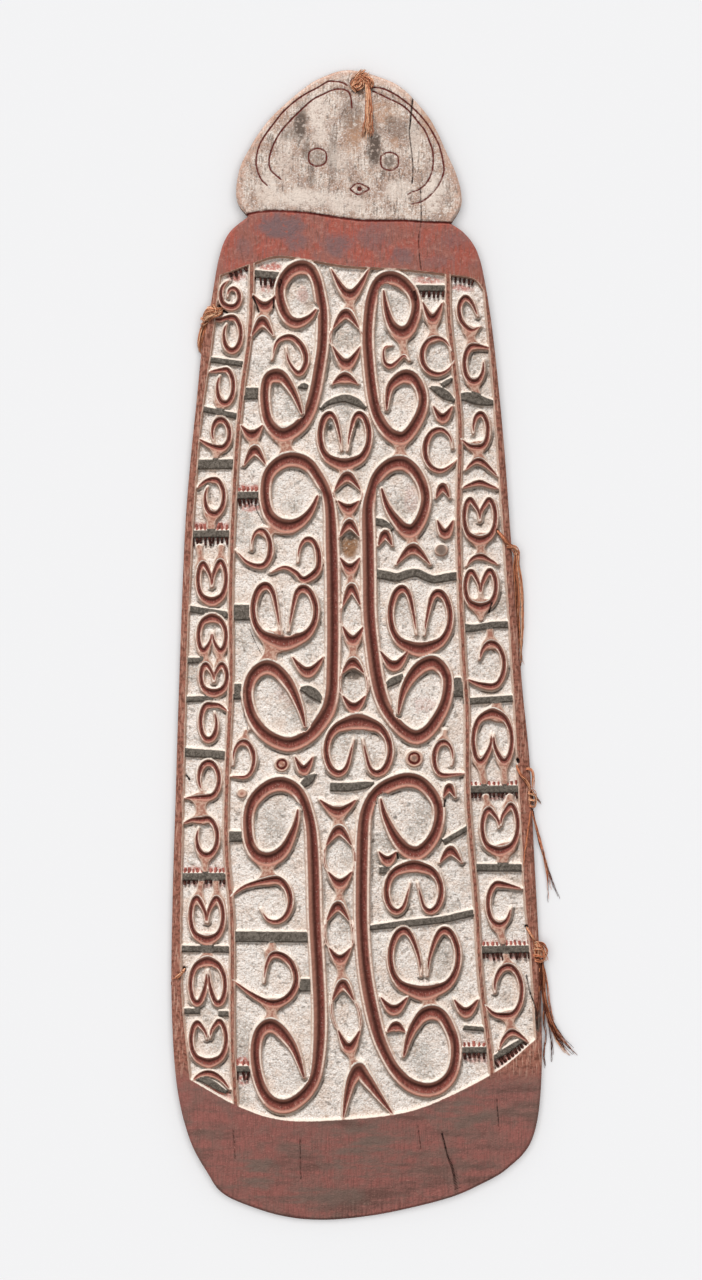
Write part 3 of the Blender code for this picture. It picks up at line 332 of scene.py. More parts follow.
# Curved bars: points with the half width at each
curvedBars = [
    [(321, 409, 1), (329, 403, 2.2), (344, 398.5, 3.4), (356, 402, 3.6), (365, 408.5, 1.2)],
    [(431, 387, 1), (438, 390, 3.6), (446, 395, 4.2), (454, 400.5, 1.2)],
    [(457, 397.5, 2.6), (466, 396, 4.2), (476, 398.5, 5), (487, 401, 3.4), (497, 402, 1.6)],
    [(375, 521, 3.2), (384, 523.5, 3.4), (392, 530, 1.4)],
    [(375, 573, 4), (388, 575.5, 4.2), (397, 577, 4), (408, 573.5, 3.8), (417, 572.5, 3.6), (426, 576.5, 3.6),
     (434, 579, 3.6), (446, 577, 3.8), (459, 575, 3.8)],
    [(301, 688, 1.5), (307, 689, 4), (313, 692, 4.8), (319, 697, 3.4), (325, 702, 1.2)],
    [(442, 385, 2), (447, 382, 2.2), (452, 378, 0.8)],
    [(384, 687, 1.6), (392, 681, 3.6), (403, 676, 3)],
    [(366, 927, 2), (400, 923, 3), (440, 919, 3.2), (460, 915, 3.2), (478, 911, 3)],
    [(460, 627, 4.4), (474, 627.5, 3.2), (492, 624.5, 3), (512, 624, 3.2)],
    [(494, 1058, 2), (507, 1050.5, 3), (521, 1041.5, 2)],
    [(197, 1079.5, 1.4), (204, 1080.5, 2.8), (212, 1084, 3.2), (219, 1088.5, 2.8), (226, 1092.5, 1.4)],
    [(299.5, 786, 1.4), (304, 783, 3.6), (310, 778, 3.8), (315, 773.5, 0.8)],
    [(331, 786, 4), (350, 786, 4), (365, 784, 3.2), (373, 782, 0.8)],
    [(299, 387, 0.8), (304, 386, 2.8), (310, 387.5, 1)],
]
# Combs: both ends of the charcoal middle, its thickness, then the length of the teeth above and below
combs = [
    (254, 273, 282, 276, 7, 0, 8), (238, 495, 262, 495, 7, 5, 7), (191, 533.5, 232, 533.5, 7, 7, 8),
    (183, 877, 230, 876, 7, 5, 5), (236, 1069, 250, 1069, 6, 6, 8), (413, 288, 445, 288, 6, 0, 8),
    (470, 789, 518, 789, 7, 5, 6), (482, 949.5, 531, 949.5, 7, 5, 7), (458, 1050, 490, 1050, 6, 5, 7),
]
# Teeth that hang from an edge: both ends, tooth length, and the side they are on
fringes = [
    (229, 273, 251, 265, 5, 1), (450, 276, 475, 280, 5, 1), (197, 1085, 232, 1103, 6, 1),
    (494, 1070, 530, 1048, 9, -1),
]
# Round studs: column, row, radius, and the rings cut into two of them and round the mouth's middle
studs = [(282, 764, 7), (414, 758, 8.5), (441, 550, 6), (242, 793, 4.5)]
rings = [(282, 764, 4.4), (414, 758, 5.2), (359.5, 189, 1.4)]
# Incised lines of the head, two squares wide
incised = [
    [(347, 84), (342, 81), (335, 80), (328, 80), (318, 86), (305, 93), (295, 100), (283, 111), (275, 121),
     (266, 133), (260, 143), (257, 153), (256, 163), (258, 172), (262, 180), (267, 185)],
    [(352, 107), (351, 98), (349, 91), (343, 88), (335, 88), (325, 92), (312, 99), (300, 110), (289, 121),
     (280, 132), (274, 143), (270, 154), (269, 164), (271, 170), (276, 175), (281, 179)],
    [(367, 86), (376, 86), (385, 88), (395, 93), (405, 100), (412, 106), (420, 114), (428, 124), (435, 136),
     (440, 147), (443, 160), (444, 170), (441, 180), (435, 190), (427, 198), (420, 202), (412, 204)],
    [(373, 90), (380, 93), (390, 98), (402, 104), (411, 112), (418, 121), (425, 130), (430, 142), (433, 152),
     (433, 165), (431, 174), (427, 182), (421, 188), (415, 191), (408, 194)],
    [(308.5, 157), (310, 151), (317.5, 148), (325, 151), (326.5, 157), (325, 163), (317.5, 166), (310, 163),
     (308.5, 157)],
    [(380.5, 161), (382, 155), (389.5, 152), (397, 155), (398.5, 161), (397, 167), (389.5, 170), (382, 167),
     (380.5, 161)],
    [(350, 189), (355, 184.5), (359, 183.5), (364, 185.5), (369, 189), (364, 192.5), (359, 194.5), (355, 193.5),
     (350, 189)],
]
# Fine raised lines inside the hearts
threads = [
    [(336, 427), (340, 441), (343, 457)], [(345, 425), (345.5, 440), (346, 458)],
    [(354, 427), (350, 441), (348, 457)],
    [(283, 590), (284, 612), (284, 632)], [(290, 590), (289, 612), (289, 632)],
    [(415, 615), (416, 628), (418, 640)], [(423, 616), (423, 630), (422, 640)],
    [(420, 955), (421, 970), (422, 984)], [(427, 956), (427, 970), (426, 984)],
    [(202, 970), (203, 985), (203, 1002)], [(208, 970), (208, 985), (208, 1002)],
]
# Cracks, deep cuts and tie holes: half width, depth, lines
cracks = [
    (0.8, 0.0036, [
        [(413, 97), (412, 107), (411, 115), (410.5, 122)], [(442, 1134), (448, 1157), (453, 1170), (457, 1190)],
        [(527, 977), (531, 995), (536, 1010), (538, 1030)],
    ]),
    (0.6, 0.0026, [
        [(410.5, 122), (409.5, 132), (411, 146), (412.5, 158), (413, 172), (412, 184)],
    ]),
    (0.5, 0.0016, [
        [(420, 187), (421, 200), (421, 222), (419, 235), (419, 250), (420, 262), (421, 270)],
        [(418, 1126), (421, 1150)],
        [(250, 630), (256, 644), (262, 655)], [(255, 505), (258, 513), (262, 520)], [(300, 1140), (301, 1180)],
        [(233, 1130), (235, 1160)], [(497, 1100), (499, 1128)], [(244, 690), (244, 712), (248, 730)],
    ]),
    (1.1, 0.0040, [
        [(253, 297), (256, 304), (259, 312)], [(274, 300), (273.5, 308)], [(219, 305), (222, 309), (227, 312)],
        [(186, 776), (189, 780)], [(445, 800), (444, 806)], [(397, 853), (398, 858)], [(489, 612), (492, 603)],
    ]),
    (1.8, 0.0050, [
        [(526.6, 927), (527.4, 927.5)], [(497.6, 530.6), (498.4, 531.4)], [(219.6, 308), (220.4, 308.6)],
        [(183.8, 969), (184.2, 971)], [(355, 87), (356.5, 89)], [(518, 760), (518.5, 762)],
    ]),
]


def smoothLine(points, step=1.5):
    # an even curve through the points, in squares
    p = np.array(points, float)
    p = np.vstack([2 * p[0] - p[1], p, 2 * p[-1] - p[-2]])
    out = []
    for a, b, c, d in zip(p[:-3], p[1:-2], p[2:-1], p[3:]):
        count = max(1, round(float(np.linalg.norm((c - b)[:2])) / step))
        for t in np.arange(count) / count:
            out.append(0.5 * (2 * b + (c - a) * t + (2 * a - 5 * b + 4 * c - d) * t ** 2
                              + (3 * b - a - 3 * c + d) * t ** 3))
    return np.array(out + [p[-2]])


def soften(line, passes):
    # rounds the kinks of a sampled curve, its ends kept
    for turn in range(passes):
        line[1:-1] = line[1:-1] * 0.5 + (line[:-2] + line[2:]) * 0.25
    return line


def ease(t):
    t = np.clip(t, 0, 1)
    return t * t * (3 - 2 * t)


# The front is one grid that follows the outline, cut into pieces along rows.
front = {"columns": 350, "pieces": 5, "edge": 0.018, "crown": 0.044, "relief": 0.0076,
         "domeMiddle": (349, 356), "domeReach": (148, 200), "rimFall": 0.0042, "rimReach": 3.2}


def sideOf(headName, bodyName, leftWards):
    # one side of the board as columns against rows, from the top of the head to the foot
    headLine, bodyLine = smoothLine(outlines[headName]), smoothLine(outlines[bodyName])
    top, low = int(np.argmin(headLine[:, 1])), int(np.argmax(bodyLine[:, 1]))
    if leftWards:
        line = np.vstack([headLine[:top + 1][::-1], bodyLine[low:][::-1][1:]])
    else:
        line = np.vstack([headLine[top:], bodyLine[1:low + 1]])
    order = np.argsort(line[:, 1], kind="stable")
    return line[order, 1], line[order, 0]


# Rows of the grid: how far each end's close rows reach and their number, then the stretches between and their pitch
rowPlan = {"head": (30, 44), "foot": (26, 40), "marks": (212, 262, 1122), "pitches": (1.35, 1.0, 1.07, 1.45)}


def rowPlaces(top, low):
    (headReach, headCount), (footReach, footCount) = rowPlan["head"], rowPlan["foot"]
    headRows = top + headReach * (np.arange(headCount) / headCount) ** 2
    footRows = low - footReach * (np.arange(footCount, -1, -1) / footCount) ** 2
    marks = (top + headReach, *rowPlan["marks"], low - footReach)
    middle = [np.linspace(a, b, round((b - a) / pitch), endpoint=False)
              for a, b, pitch in zip(marks, marks[1:], rowPlan["pitches"])]
    return np.concatenate([headRows] + middle + [footRows])


leftEdge, rightEdge = sideOf("headLeft", "bodyLeft", True), sideOf("headRight", "bodyRight", False)
rows = rowPlaces(leftEdge[0][0], leftEdge[0][-1])
leftSide, rightSide = np.interp(rows, *leftEdge), np.interp(rows, *rightEdge)
share = np.linspace(0, 1, front["columns"] + 1)
gridX = leftSide[:, None] + (rightSide - leftSide)[:, None] * share[None, :]
gridY = np.repeat(rows[:, None], front["columns"] + 1, axis=1)
shape = gridX.shape
wholeGrid = slice(None), slice(None)
brushRun = 14   # stretches of a line that are measured at once
print("grid", shape)


def window(x0, x1, y0, y1):
    # the rows and columns of the grid that cover a box
    r0, r1 = np.searchsorted(rows, (y0, y1))
    r0, r1 = max(0, r0 - 1), min(len(rows), r1 + 1)
    left, width = leftSide[r0:r1], np.maximum(rightSide[r0:r1] - leftSide[r0:r1], 1)
    c0 = int(np.floor(((x0 - left) / width).min() * front["columns"]))
    c1 = int(np.ceil(((x1 - left) / width).max() * front["columns"])) + 1
    return r0, r1, min(max(c0, 0), front["columns"]), min(max(c1, 1), front["columns"] + 1)


def brush(line, reach):
    # for the grid near a line: the distance to it, the place along it from 0 to 1, the way off it, how level it is
    low, high = line[:, :2].min(axis=0) - reach, line[:, :2].max(axis=0) + reach
    r0, r1, c0, c1 = window(low[0], high[0], low[1], high[1])
    gap = np.full((r1 - r0, c1 - c0), reach, float)
    along, offX, offY, flat = (np.zeros_like(gap) for _ in range(4))
    for start in range(0, len(line) - 1, brushRun):
        run = line[start:start + brushRun + 1, :2]
        low, high = run.min(axis=0) - reach, run.max(axis=0) + reach
        a0, a1, b0, b1 = window(low[0], high[0], low[1], high[1])
        base, way = run[:-1], run[1:] - run[:-1]
        square = (way ** 2).sum(axis=1)
        dx = gridX[a0:a1, b0:b1, None] - base[:, 0]
        dy = gridY[a0:a1, b0:b1, None] - base[:, 1]
        t = np.clip((dx * way[:, 0] + dy * way[:, 1]) / square, 0, 1)
        dx, dy = dx - t * way[:, 0], dy - t * way[:, 1]
        off = np.hypot(dx, dy)
        pick = off.argmin(axis=2)[..., None]
        near = np.take_along_axis(off, pick, 2)[..., 0]
        part = slice(a0 - r0, a1 - r0), slice(b0 - c0, b1 - c0)
        better = near < gap[part]
        place = (start + pick[..., 0] + np.take_along_axis(t, pick, 2)[..., 0]) / (len(line) - 1)
        level = np.abs(way[:, 0]) / np.sqrt(square)
        for target, values in ((gap, near), (along, place), (offX, np.take_along_axis(dx, pick, 2)[..., 0]),
                               (offY, np.take_along_axis(dy, pick, 2)[..., 0]), (flat, level[pick[..., 0]])):
            target[part][better] = values[better]
    return (slice(r0, r1), slice(c0, c1)), gap, along, (offX, offY), flat


farOff = 30.0   # the distance, in squares, of what no form is near to
edgeNames = ("bandEdge", "barEdge", "rimEdge", "neckEdge", "lineEdge", "crackEdge", "studEdge")
field = {name: np.full(shape, farOff) for name in edgeNames}
field["bandAcross"], field["bandSide"] = np.full(shape, 3.0), np.full(shape, 0.5)
raised = np.zeros(shape)       # metres above the sunk ground
bandRaised = np.zeros(shape)   # the same inside a carved band
# Half widths are for upright and level stretches. The channel is cut deeper on the side named in lightWay.
bandStyle = {
    "wall": 1.7, "farWall": 1.4, "crest": 0.88, "reach": 19, "lightWay": (-0.28, -0.96), "shift": 0.27,
    "rounding": 0.0007, "tipShare": 0.18, "taper": 0.7, "ridgeFrom": 0.7, "arms": (0.84, 1.3), "stemSpan": (0.21, 0.09),
    "channelSwing": 1.3, "sideSwing": 1.6, "slopePower": 1.25, "thinnest": 0.3, "thickest": 1.15,
    "scroll": {"upright": 5.8, "level": 7.7, "stem": 1.6, "depth": 0.0066, "tip": 48, "soften": 6},
    "shortScroll": {"upright": 5.5, "level": 7.6, "stem": 0.8, "depth": 0.0064, "tip": 44, "soften": 6},
    "medium": {"upright": 3.5, "level": 4.5, "stem": 0, "depth": 0.0052, "taper": 1.0, "tip": 50, "soften": 5},
    "small": {"upright": 2.8, "level": 3.5, "stem": 0, "depth": 0.0044, "tip": 22, "soften": 3},
    "crescent": {"upright": 4.4, "level": 6.2, "stem": 0, "depth": 0.0052, "tip": 0, "soften": 3},
    "fine": {"upright": 1.0, "level": 1.0, "stem": 0, "depth": 0.0020, "tip": 5, "soften": 2},
    "great": {"upright": 6.0, "level": 10.0, "stem": 0, "depth": 0.0062, "tip": 0, "soften": 4},
}


def bandHalf(kind, along, level, length):
    # half width of a band: it narrows over its last stretch to a fine tip
    style = bandStyle[kind]
    wide = style["upright"] + (style["level"] - style["upright"]) * level ** 2
    if style["tip"] == 0:
        most, power = bandStyle["arms"]
        return wide * (1 - most * np.abs(2 * along - 1) ** power)
    reach, fade = bandStyle["stemSpan"]
    wide = wide + style["stem"] * ease((reach - np.abs(along - 0.5)) / fade)
    toTip = np.minimum(along, 1 - along) * length / style["tip"]
    least = bandStyle["tipShare"]
    return wide * (least + (1 - least) * np.clip(toTip, 0, 1) ** style.get("taper", bandStyle["taper"]))


def carveBand(points, kind):
    line = soften(smoothLine(points), bandStyle[kind]["soften"])
    length = np.linalg.norm(np.diff(line[:, :2], axis=0), axis=1).sum()
    part, gap, along, off, level = brush(line, bandStyle["reach"])
    half = bandHalf(kind, along, level, length)
    if line.shape[1] > 2:
        half = half + np.interp(along, np.linspace(0, 1, len(line)), line[:, 2])
    toLight = (off[0] * bandStyle["lightWay"][0] + off[1] * bandStyle["lightWay"][1]) / np.maximum(gap, 1e-6)
    swing = np.clip(toLight * bandStyle["channelSwing"], -1, 1)
    crestAt, bottom = half * bandStyle["crest"], bandStyle["shift"] * half * swing
    rise = np.where(gap > bottom, (gap - bottom) / (crestAt - bottom), (bottom - gap) / (crestAt + bottom))
    thin = np.clip(half / bandStyle[kind]["upright"], bandStyle["thinnest"], bandStyle["thickest"])
    rise = np.maximum(rise, 1 - ease(half - bandStyle["ridgeFrom"]))   # a fine tip is a plain ridge
    dip = bandStyle[kind]["depth"] * thin * (1 - np.clip(rise, 0, 1) ** bandStyle["slopePower"])
    fall = bandStyle["rounding"] * np.clip((gap - crestAt) / (half - crestAt), 0, 1) ** 2
    edge = gap - half
    nearer = edge < field["bandEdge"][part]
    bandRaised[part] = np.where(nearer, front["relief"] - dip - fall, bandRaised[part])
    field["bandAcross"][part] = np.where(nearer, np.clip(rise, 0, 3), field["bandAcross"][part])
    # 1 on the side towards the light, 0 away from it: the paint turns this into painted light and shade on crests,
    # channels and the ground beside
    side = np.clip(toLight * bandStyle["sideSwing"], -1, 1)
    side = np.where(gap > bottom, side, -np.abs(side)) * 0.5 + 0.5
    field["bandSide"][part] = np.where(nearer, side, field["bandSide"][part])
    field["bandEdge"][part] = np.where(nearer, edge, field["bandEdge"][part])


# Flat-topped forms: heights as shares of the relief, the width of their walls and how far they are looked for
flatStyle = {"wall": 1.8, "studWall": 2.0, "bar": 0.80, "stud": 0.9, "ridge": 2.5, "rimReach": 12, "ridgeReach": 10,
             "studReach": 16, "trim": 0.3}


def raiseFlat(name, part, edge, height, wall):
    # a flat-topped form with steep sides
    raised[part] = np.maximum(raised[part], height * (1 - ease(edge / wall)))
    field[name][part] = np.minimum(field[name][part], edge)


def carveBar(points):
    # a bar with square ends that stops at the rims, the ridges and the bands
    line, reach, trim = smoothLine(points), flatStyle["rimReach"], flatStyle["trim"]
    part, gap, along, off, level = brush(line, reach)
    half = np.interp(along, np.linspace(0, 1, len(line)), line[:, 2])
    edge = gap - half
    for end, way in ((0, line[0] - line[1]), (1, line[-1] - line[-2])):
        way = way[:2] / np.linalg.norm(way[:2])
        beyond, across = off[0] * way[0] + off[1] * way[1], np.abs(off[0] * way[1] - off[1] * way[0])
        edge = np.where((along == end) & (gap < reach), np.maximum(across - half, beyond), edge)
    covered = (field["rimEdge"][part] < trim) | (field["bandEdge"][part] < trim)
    height = front["relief"] * flatStyle["bar"] * (1 - ease(edge / flatStyle["wall"]))
    raised[part] = np.maximum(raised[part], height)
    field["barEdge"][part] = np.minimum(field["barEdge"][part], np.where(covered, farOff, edge))


# Necks are waisted and flare into the bands that they join.
neckStyle = {"height": 0.90, "waist": 0.74, "flare": 7.0, "wall": 1.8, "reach": 20, "joint": 0.02}


def carveNeck(x0, y0, x1, y1, half0, half1):
    part, gap, along, off, level = brush(np.linspace((x0, y0), (x1, y1), 8), neckStyle["reach"])
    half = (half0 + (half1 - half0) * along) * (neckStyle["waist"] + (1 - neckStyle["waist"]) * (2 * along - 1) ** 2)
    neck, nearBand = gap - half, field["bandEdge"][part]
    flare = np.maximum(neckStyle["flare"] - np.abs(neck - nearBand), 0) / neckStyle["flare"]
    edge = np.minimum(neck, nearBand) - flare ** 2 * neckStyle["flare"] / 4
    joined = edge < nearBand - neckStyle["joint"]
    edge = np.where(joined, edge, farOff)
    height = front["relief"] * neckStyle["height"] * (1 - ease(edge / neckStyle["wall"]))
    raised[part] = np.maximum(raised[part], np.where(joined, height, 0))
    field["neckEdge"][part] = np.minimum(field["neckEdge"][part], edge)


def nearestLine(*names):
    # distance to the nearest of some outlines, in squares, near them
    nearest = np.full(shape, float(flatStyle["rimReach"]))
    for name in names:
        part, gap, along, off, level = brush(smoothLine(outlines[name]), flatStyle["rimReach"])
        nearest[part] = np.minimum(nearest[part], gap)
    return nearest


def carveRim():
    # the flat rims, the bands of full height and the two ridges
    top = np.interp(gridX, *smoothLine(outlines["panelTop"]).T)
    bottom = np.interp(gridX, *smoothLine(outlines["panelBottom"]).T)
    leftLine, rightLine = smoothLine(outlines["panelLeft"]), smoothLine(outlines["panelRight"])
    left = np.interp(gridY, leftLine[:, 1], leftLine[:, 0])
    right = np.interp(gridY, rightLine[:, 1], rightLine[:, 0])
    inPanel = (gridY > top) & (gridY < bottom) & (gridX > left) & (gridX < right)
    nearest = nearestLine("panelTop", "panelRight", "panelBottom", "panelLeft")
    raiseFlat("rimEdge", wholeGrid, np.where(inPanel, nearest, -nearest), front["relief"], flatStyle["wall"])
    for ridge in ridges:
        part, gap, along, off, level = brush(smoothLine(ridge), flatStyle["ridgeReach"])
        raiseFlat("rimEdge", part, gap - flatStyle["ridge"], front["relief"], flatStyle["wall"])
    return inPanel


sunk = carveRim()
for curl in smallCurls:
    carveBand(curl, "small")
for curl in mediumCurls:
    carveBand(curl, "medium")
for crescent in crescents:
    carveBand(vee(*crescent), "crescent")
for upper, lower in ovals:
    for side in (-1, 1):
        carveBand(ovalSide(crescents[upper], crescents[lower], side), "fine")
for number, scroll in enumerate(scrolls):
    carveBand(scroll, "scroll" if number % 3 else "shortScroll")
carveBand(greatCrescent, "great")
print("bands carved")
for neck in necks:
    carveNeck(*neck)
for x0, y0, x1, y1, thickness in bars + [comb[:5] for comb in combs]:
    carveBar([(x0, y0, thickness / 2), (x1, y1, thickness / 2)])
for bar in curvedBars:
    carveBar(bar)
for column, row, radius in studs:
    part, gap, along, off, level = brush(np.array([(column - 0.1, row), (column + 0.1, row)]), flatStyle["studReach"])
    raiseFlat("studEdge", part, gap - radius, front["relief"] * flatStyle["stud"], flatStyle["studWall"])
raised = np.where(sunk, raised, front["relief"])
wallWide = bandStyle["wall"] + bandStyle["farWall"] * ease((0.5 - field["bandSide"]) / 0.3)
wallHeight = (front["relief"] - bandStyle["rounding"]) * (1 - ease(field["bandEdge"] / wallWide))
raised = np.where((field["bandEdge"] < 0) & sunk, bandRaised, np.maximum(raised, wallHeight * sunk))
field["bandEdge"][~sunk] = farOff
field["neckEdge"][field["rimEdge"] < 0] = farOff


# Cut lines: half width and depth, and how far they are looked for
cutStyle = {"headLine": (0.95, 0.0016), "neckGroove": (1.3, 0.0030), "ring": (1.2, 0.0026), "reach": 8}
# Raised threads: half width of the top, run of the side, height and reach
threadStyle = {"top": 0.6, "side": 1.3, "height": 0.0030, "reach": 6}


def incise(name, points, half, depth):
    part, gap, along, off, level = brush(smoothLine(points), cutStyle["reach"])
    raised[part] -= depth * (1 - ease((gap - half * 0.2) / half))
    field[name][part] = np.minimum(field[name][part], gap - half)


for line in incised:
    incise("lineEdge", line, *cutStyle["headLine"])
incise("lineEdge", outlines["neckGroove"], *cutStyle["neckGroove"])
for column, row, radius in rings:
    incise("lineEdge", loop(column, row, radius, radius, 0, 12, 1), *cutStyle["ring"])
for line in threads:
    part, gap, along, off, level = brush(smoothLine(line), threadStyle["reach"])
    lifted = raised[part] + threadStyle["height"] * (1 - ease((gap - threadStyle["top"]) / threadStyle["side"]))
    raised[part] = np.where(field["bandEdge"][part] > 0, lifted, raised[part])
for half, depth, lines in cracks:
    for line in lines:
        incise("crackEdge", line, half, depth)
print("necks, bars and lines carved")


# The sheet of seeded noise: its corner, its size and how much less each octave weighs
noiseSheet = {"left": 165, "top": 64, "wide": 390, "tall": 1180, "fade": 0.55}


def waves(across, down, seed, octaves=3):
    # smooth seeded noise over the grid, about -1 to 1, with features that many squares across and down
    total, weight = np.zeros(shape), 0.0
    for octave in range(octaves):
        sizeX, sizeY, part = across / 2 ** octave, down / 2 ** octave, noiseSheet["fade"] ** octave
        random = np.random.default_rng(seed + octave)
        nodes = random.uniform(-1, 1, (int(noiseSheet["tall"] / sizeY) + 4, int(noiseSheet["wide"] / sizeX) + 4))
        fx, fy = (gridX - noiseSheet["left"]) / sizeX, (gridY - noiseSheet["top"]) / sizeY
        ix, iy = fx.astype(int), fy.astype(int)
        tx, ty = ease(fx - ix), ease(fy - iy)
        upper = nodes[iy, ix] * (1 - tx) + nodes[iy, ix + 1] * tx
        lower = nodes[iy + 1, ix] * (1 - tx) + nodes[iy + 1, ix + 1] * tx
        total += (upper * (1 - ty) + lower * ty) * part
        weight += part
    return total / weight


def domeAt(x, y):
    toFoot = (y - layout["top"]) / layout["tall"]
    middle, reach = (atHead + (atFoot - atHead) * toFoot
                     for atHead, atFoot in (front["domeMiddle"], front["domeReach"]))
    return np.clip(1 - ((x - middle) / reach) ** 2, 0, 1) * np.clip(1 - np.abs(2 * toFoot - 1) ** 3, 0, 1)


def groundAt(x, y):
    # height of the sunk ground
    return front["edge"] + front["crown"] * domeAt(x, y) - front["relief"]


# Surface of the wood: picked ground, smooth bands, grain on the plain fields
skin = {"pick": 0.0011, "pickSize": 3.4, "lump": 0.0007, "lumpSize": 9.0, "pit": 0.0009, "pitSize": 2.4,
        "pitFrom": 0.42, "smooth": 0.0007, "smoothSize": 6, "grain": 0.00050, "grainSize": (2.2, 26), "formFade": 2.5}
headAndBody = ("headLeft", "headRight", "bodyRight", "bodyLeft")
atOutline = (gridX - leftSide[:, None] < 0.01) | (rightSide[:, None] - gridX < 0.01)
rimGap = np.where(atOutline, 0, nearestLine(*headAndBody))
nearForm = np.minimum.reduce([field[name] for name in ("bandEdge", "rimEdge", "barEdge", "neckEdge", "studEdge")])
groundShare = ease(nearForm / skin["formFade"])
picks = waves(skin["pickSize"], skin["pickSize"], 5, 2)
pits = np.clip(-waves(skin["pitSize"], skin["pitSize"], 21, 1) - skin["pitFrom"], 0, 1) / (1 - skin["pitFrom"])
texture = picks * skin["pick"] + waves(skin["lumpSize"], skin["lumpSize"], 8, 2) * skin["lump"] - pits * skin["pit"]
grainy = waves(*skin["grainSize"], 31, 2) * skin["grain"] * (1 - groundShare) * (field["bandEdge"] > 0)
height = (groundAt(gridX, gridY) + raised + texture * groundShare
          + waves(skin["smoothSize"], skin["smoothSize"], 3) * skin["smooth"] * (1 - groundShare) + grainy)
height -= front["rimFall"] * (1 - ease(rimGap / front["rimReach"])) ** 2
height = np.minimum(height, cadHigh.z)
pointX, pointY = toX(gridX), toY(gridY)
print("front height", round(float(height.min()), 4), round(float(height.max()), 4))


def normalsOf(x, y, z):
    # vertex normals of a grid surface that faces up
    down = np.stack([np.gradient(v, axis=0) for v in (x, y, z)], axis=-1)
    right = np.stack([np.gradient(v, axis=1) for v in (x, y, z)], axis=-1)
    normal = np.cross(down, right)
    size = np.linalg.norm(normal, axis=2, keepdims=True)
    normal = np.where(size > 1e-12, normal / np.maximum(size, 1e-12), (0.0, 0.0, 1.0))
    return normal * np.where(normal[..., 2:] < 0, -1, 1)


def gridMesh(name, x, y, z, fields, normal=None, closeTop=False, closeFoot=False, flip=False):
    # a smooth mesh of quads from a block of the grid. A closed end is one point with a fan of triangles.
    tall, wide = x.shape
    keep = np.ones((tall, wide), bool)
    keep[0, 1:] = not closeTop
    keep[-1, 1:] = not closeFoot
    index = np.cumsum(keep.ravel()).reshape(tall, wide) - 1
    a, b, c, d = index[:-1, :-1], index[1:, :-1], index[1:, 1:], index[:-1, 1:]
    quads = np.stack([a, b, c, d], axis=-1)
    inner = quads[int(closeTop):len(quads) - int(closeFoot)].reshape(-1, 4)
    fans = [quads[0][:, [0, 1, 2]]] * int(closeTop) + [quads[-1][:, [0, 1, 3]]] * int(closeFoot)
    fans = np.vstack(fans) if fans else np.empty((0, 3), int)
    if flip:
        inner, fans = inner[:, ::-1], fans[:, ::-1]
    corners = np.concatenate([inner.ravel(), fans.ravel()])
    starts = np.concatenate([np.arange(len(inner)) * 4, len(inner) * 4 + np.arange(len(fans)) * 3])
    mesh = bpy.data.meshes.new(name)
    mesh.vertices.add(int(keep.sum()))
    mesh.vertices.foreach_set("co", np.stack([x, y, z], axis=-1)[keep].astype(np.float32).ravel())
    mesh.loops.add(len(corners))
    mesh.loops.foreach_set("vertex_index", corners.astype(np.int32))
    mesh.polygons.add(len(starts))
    mesh.polygons.foreach_set("loop_start", starts.astype(np.int32))
    mesh.polygons.foreach_set("use_smooth", np.ones(len(starts), bool))
    mesh.update(calc_edges=True)
    # a flat map, laid out as the grid itself
    across, down = np.meshgrid(np.linspace(0, 1, wide), np.linspace(1, 0, tall))
    flat = np.stack([across, down], axis=-1)[keep][corners]
    mesh.uv_layers.new(name="OFBake").data.foreach_set("uv", flat.astype(np.float32).ravel())
    for key, values in fields.items():
        attribute = mesh.attributes.new(key, "FLOAT", "POINT")
        attribute.data.foreach_set("value", values[keep].astype(np.float32))
    if normal is not None:
        mesh.normals_split_custom_set_from_vertices(normal[keep])
    made = bpy.data.objects.new(name, mesh)
    scene.collection.objects.link(made)
    return made


def dress(piece, material, slot, *nodes):
    piece.data.materials.append(material)
    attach(piece, "root")
    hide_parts(*nodes)
    piece.data.calc_loop_triangles()
    print(piece.name, len(piece.data.loop_triangles), "triangles")


# Painted wood. The fields carry distances in squares, so that every painted edge stays sharp.
woodLook = {
    "chalk": (252, 248, 243), "lime": (241, 232, 224), "limeWarm": (232, 215, 202), "bareWood": (196, 172, 155),
    "speck": (96, 84, 74), "smudge": (164, 157, 148), "soot": (84, 76, 69), "pink": (190, 116, 104),
    "brown": (150, 112, 84),
    # walls: their own colour, painted light where they face the light and painted shade where they face away; the last
    # colour here is painted shadow on the ground at their feet
    "wall": (206, 176, 158), "wallPaintedLight": (240, 226, 212), "wallPaintedShadeAndFleck": (172, 132, 113), "groundPaintedShadow": (140, 120, 104),
    # crests: cream on the side towards the light, salmon on the side away from it, painted light and shade
    "crest": (250, 238, 224), "crestMid": (240, 216, 200), "salmon": (200, 142, 124),
    # slope is painted lighter on the channel's shaded side towards the light; groove is the painted shade at the
    # channel bottom and also the colour of dark streaks
    "red": (138, 75, 65), "redDeep": (112, 56, 47), "redPale": (164, 106, 92), "slope": (178, 124, 106),
    "groove": (62, 27, 20), "neck": (170, 118, 100), "neckPale": (206, 166, 146),
    "charcoal": (110, 101, 92), "charcoalDark": (80, 72, 64), "charcoalPale": (150, 140, 128),
    "rim": (158, 103, 86), "rimDark": (114, 70, 56), "rimPale": (206, 162, 142),
    "topBand": (156, 98, 86), "topRed": (168, 90, 76), "topPatch": (126, 98, 97), "topPale": (186, 134, 121),
    "foot": (134, 92, 84), "footRed": (150, 94, 86), "footDark": (104, 74, 66), "footGrey": (118, 100, 90),
    "headPale": (228, 212, 199), "headMid": (180, 155, 141), "headTan": (182, 140, 112), "headDark": (98, 84, 75),
    "headPink": (210, 166, 144), "incisedLine": (102, 42, 35), "crack": (46, 30, 25),
}


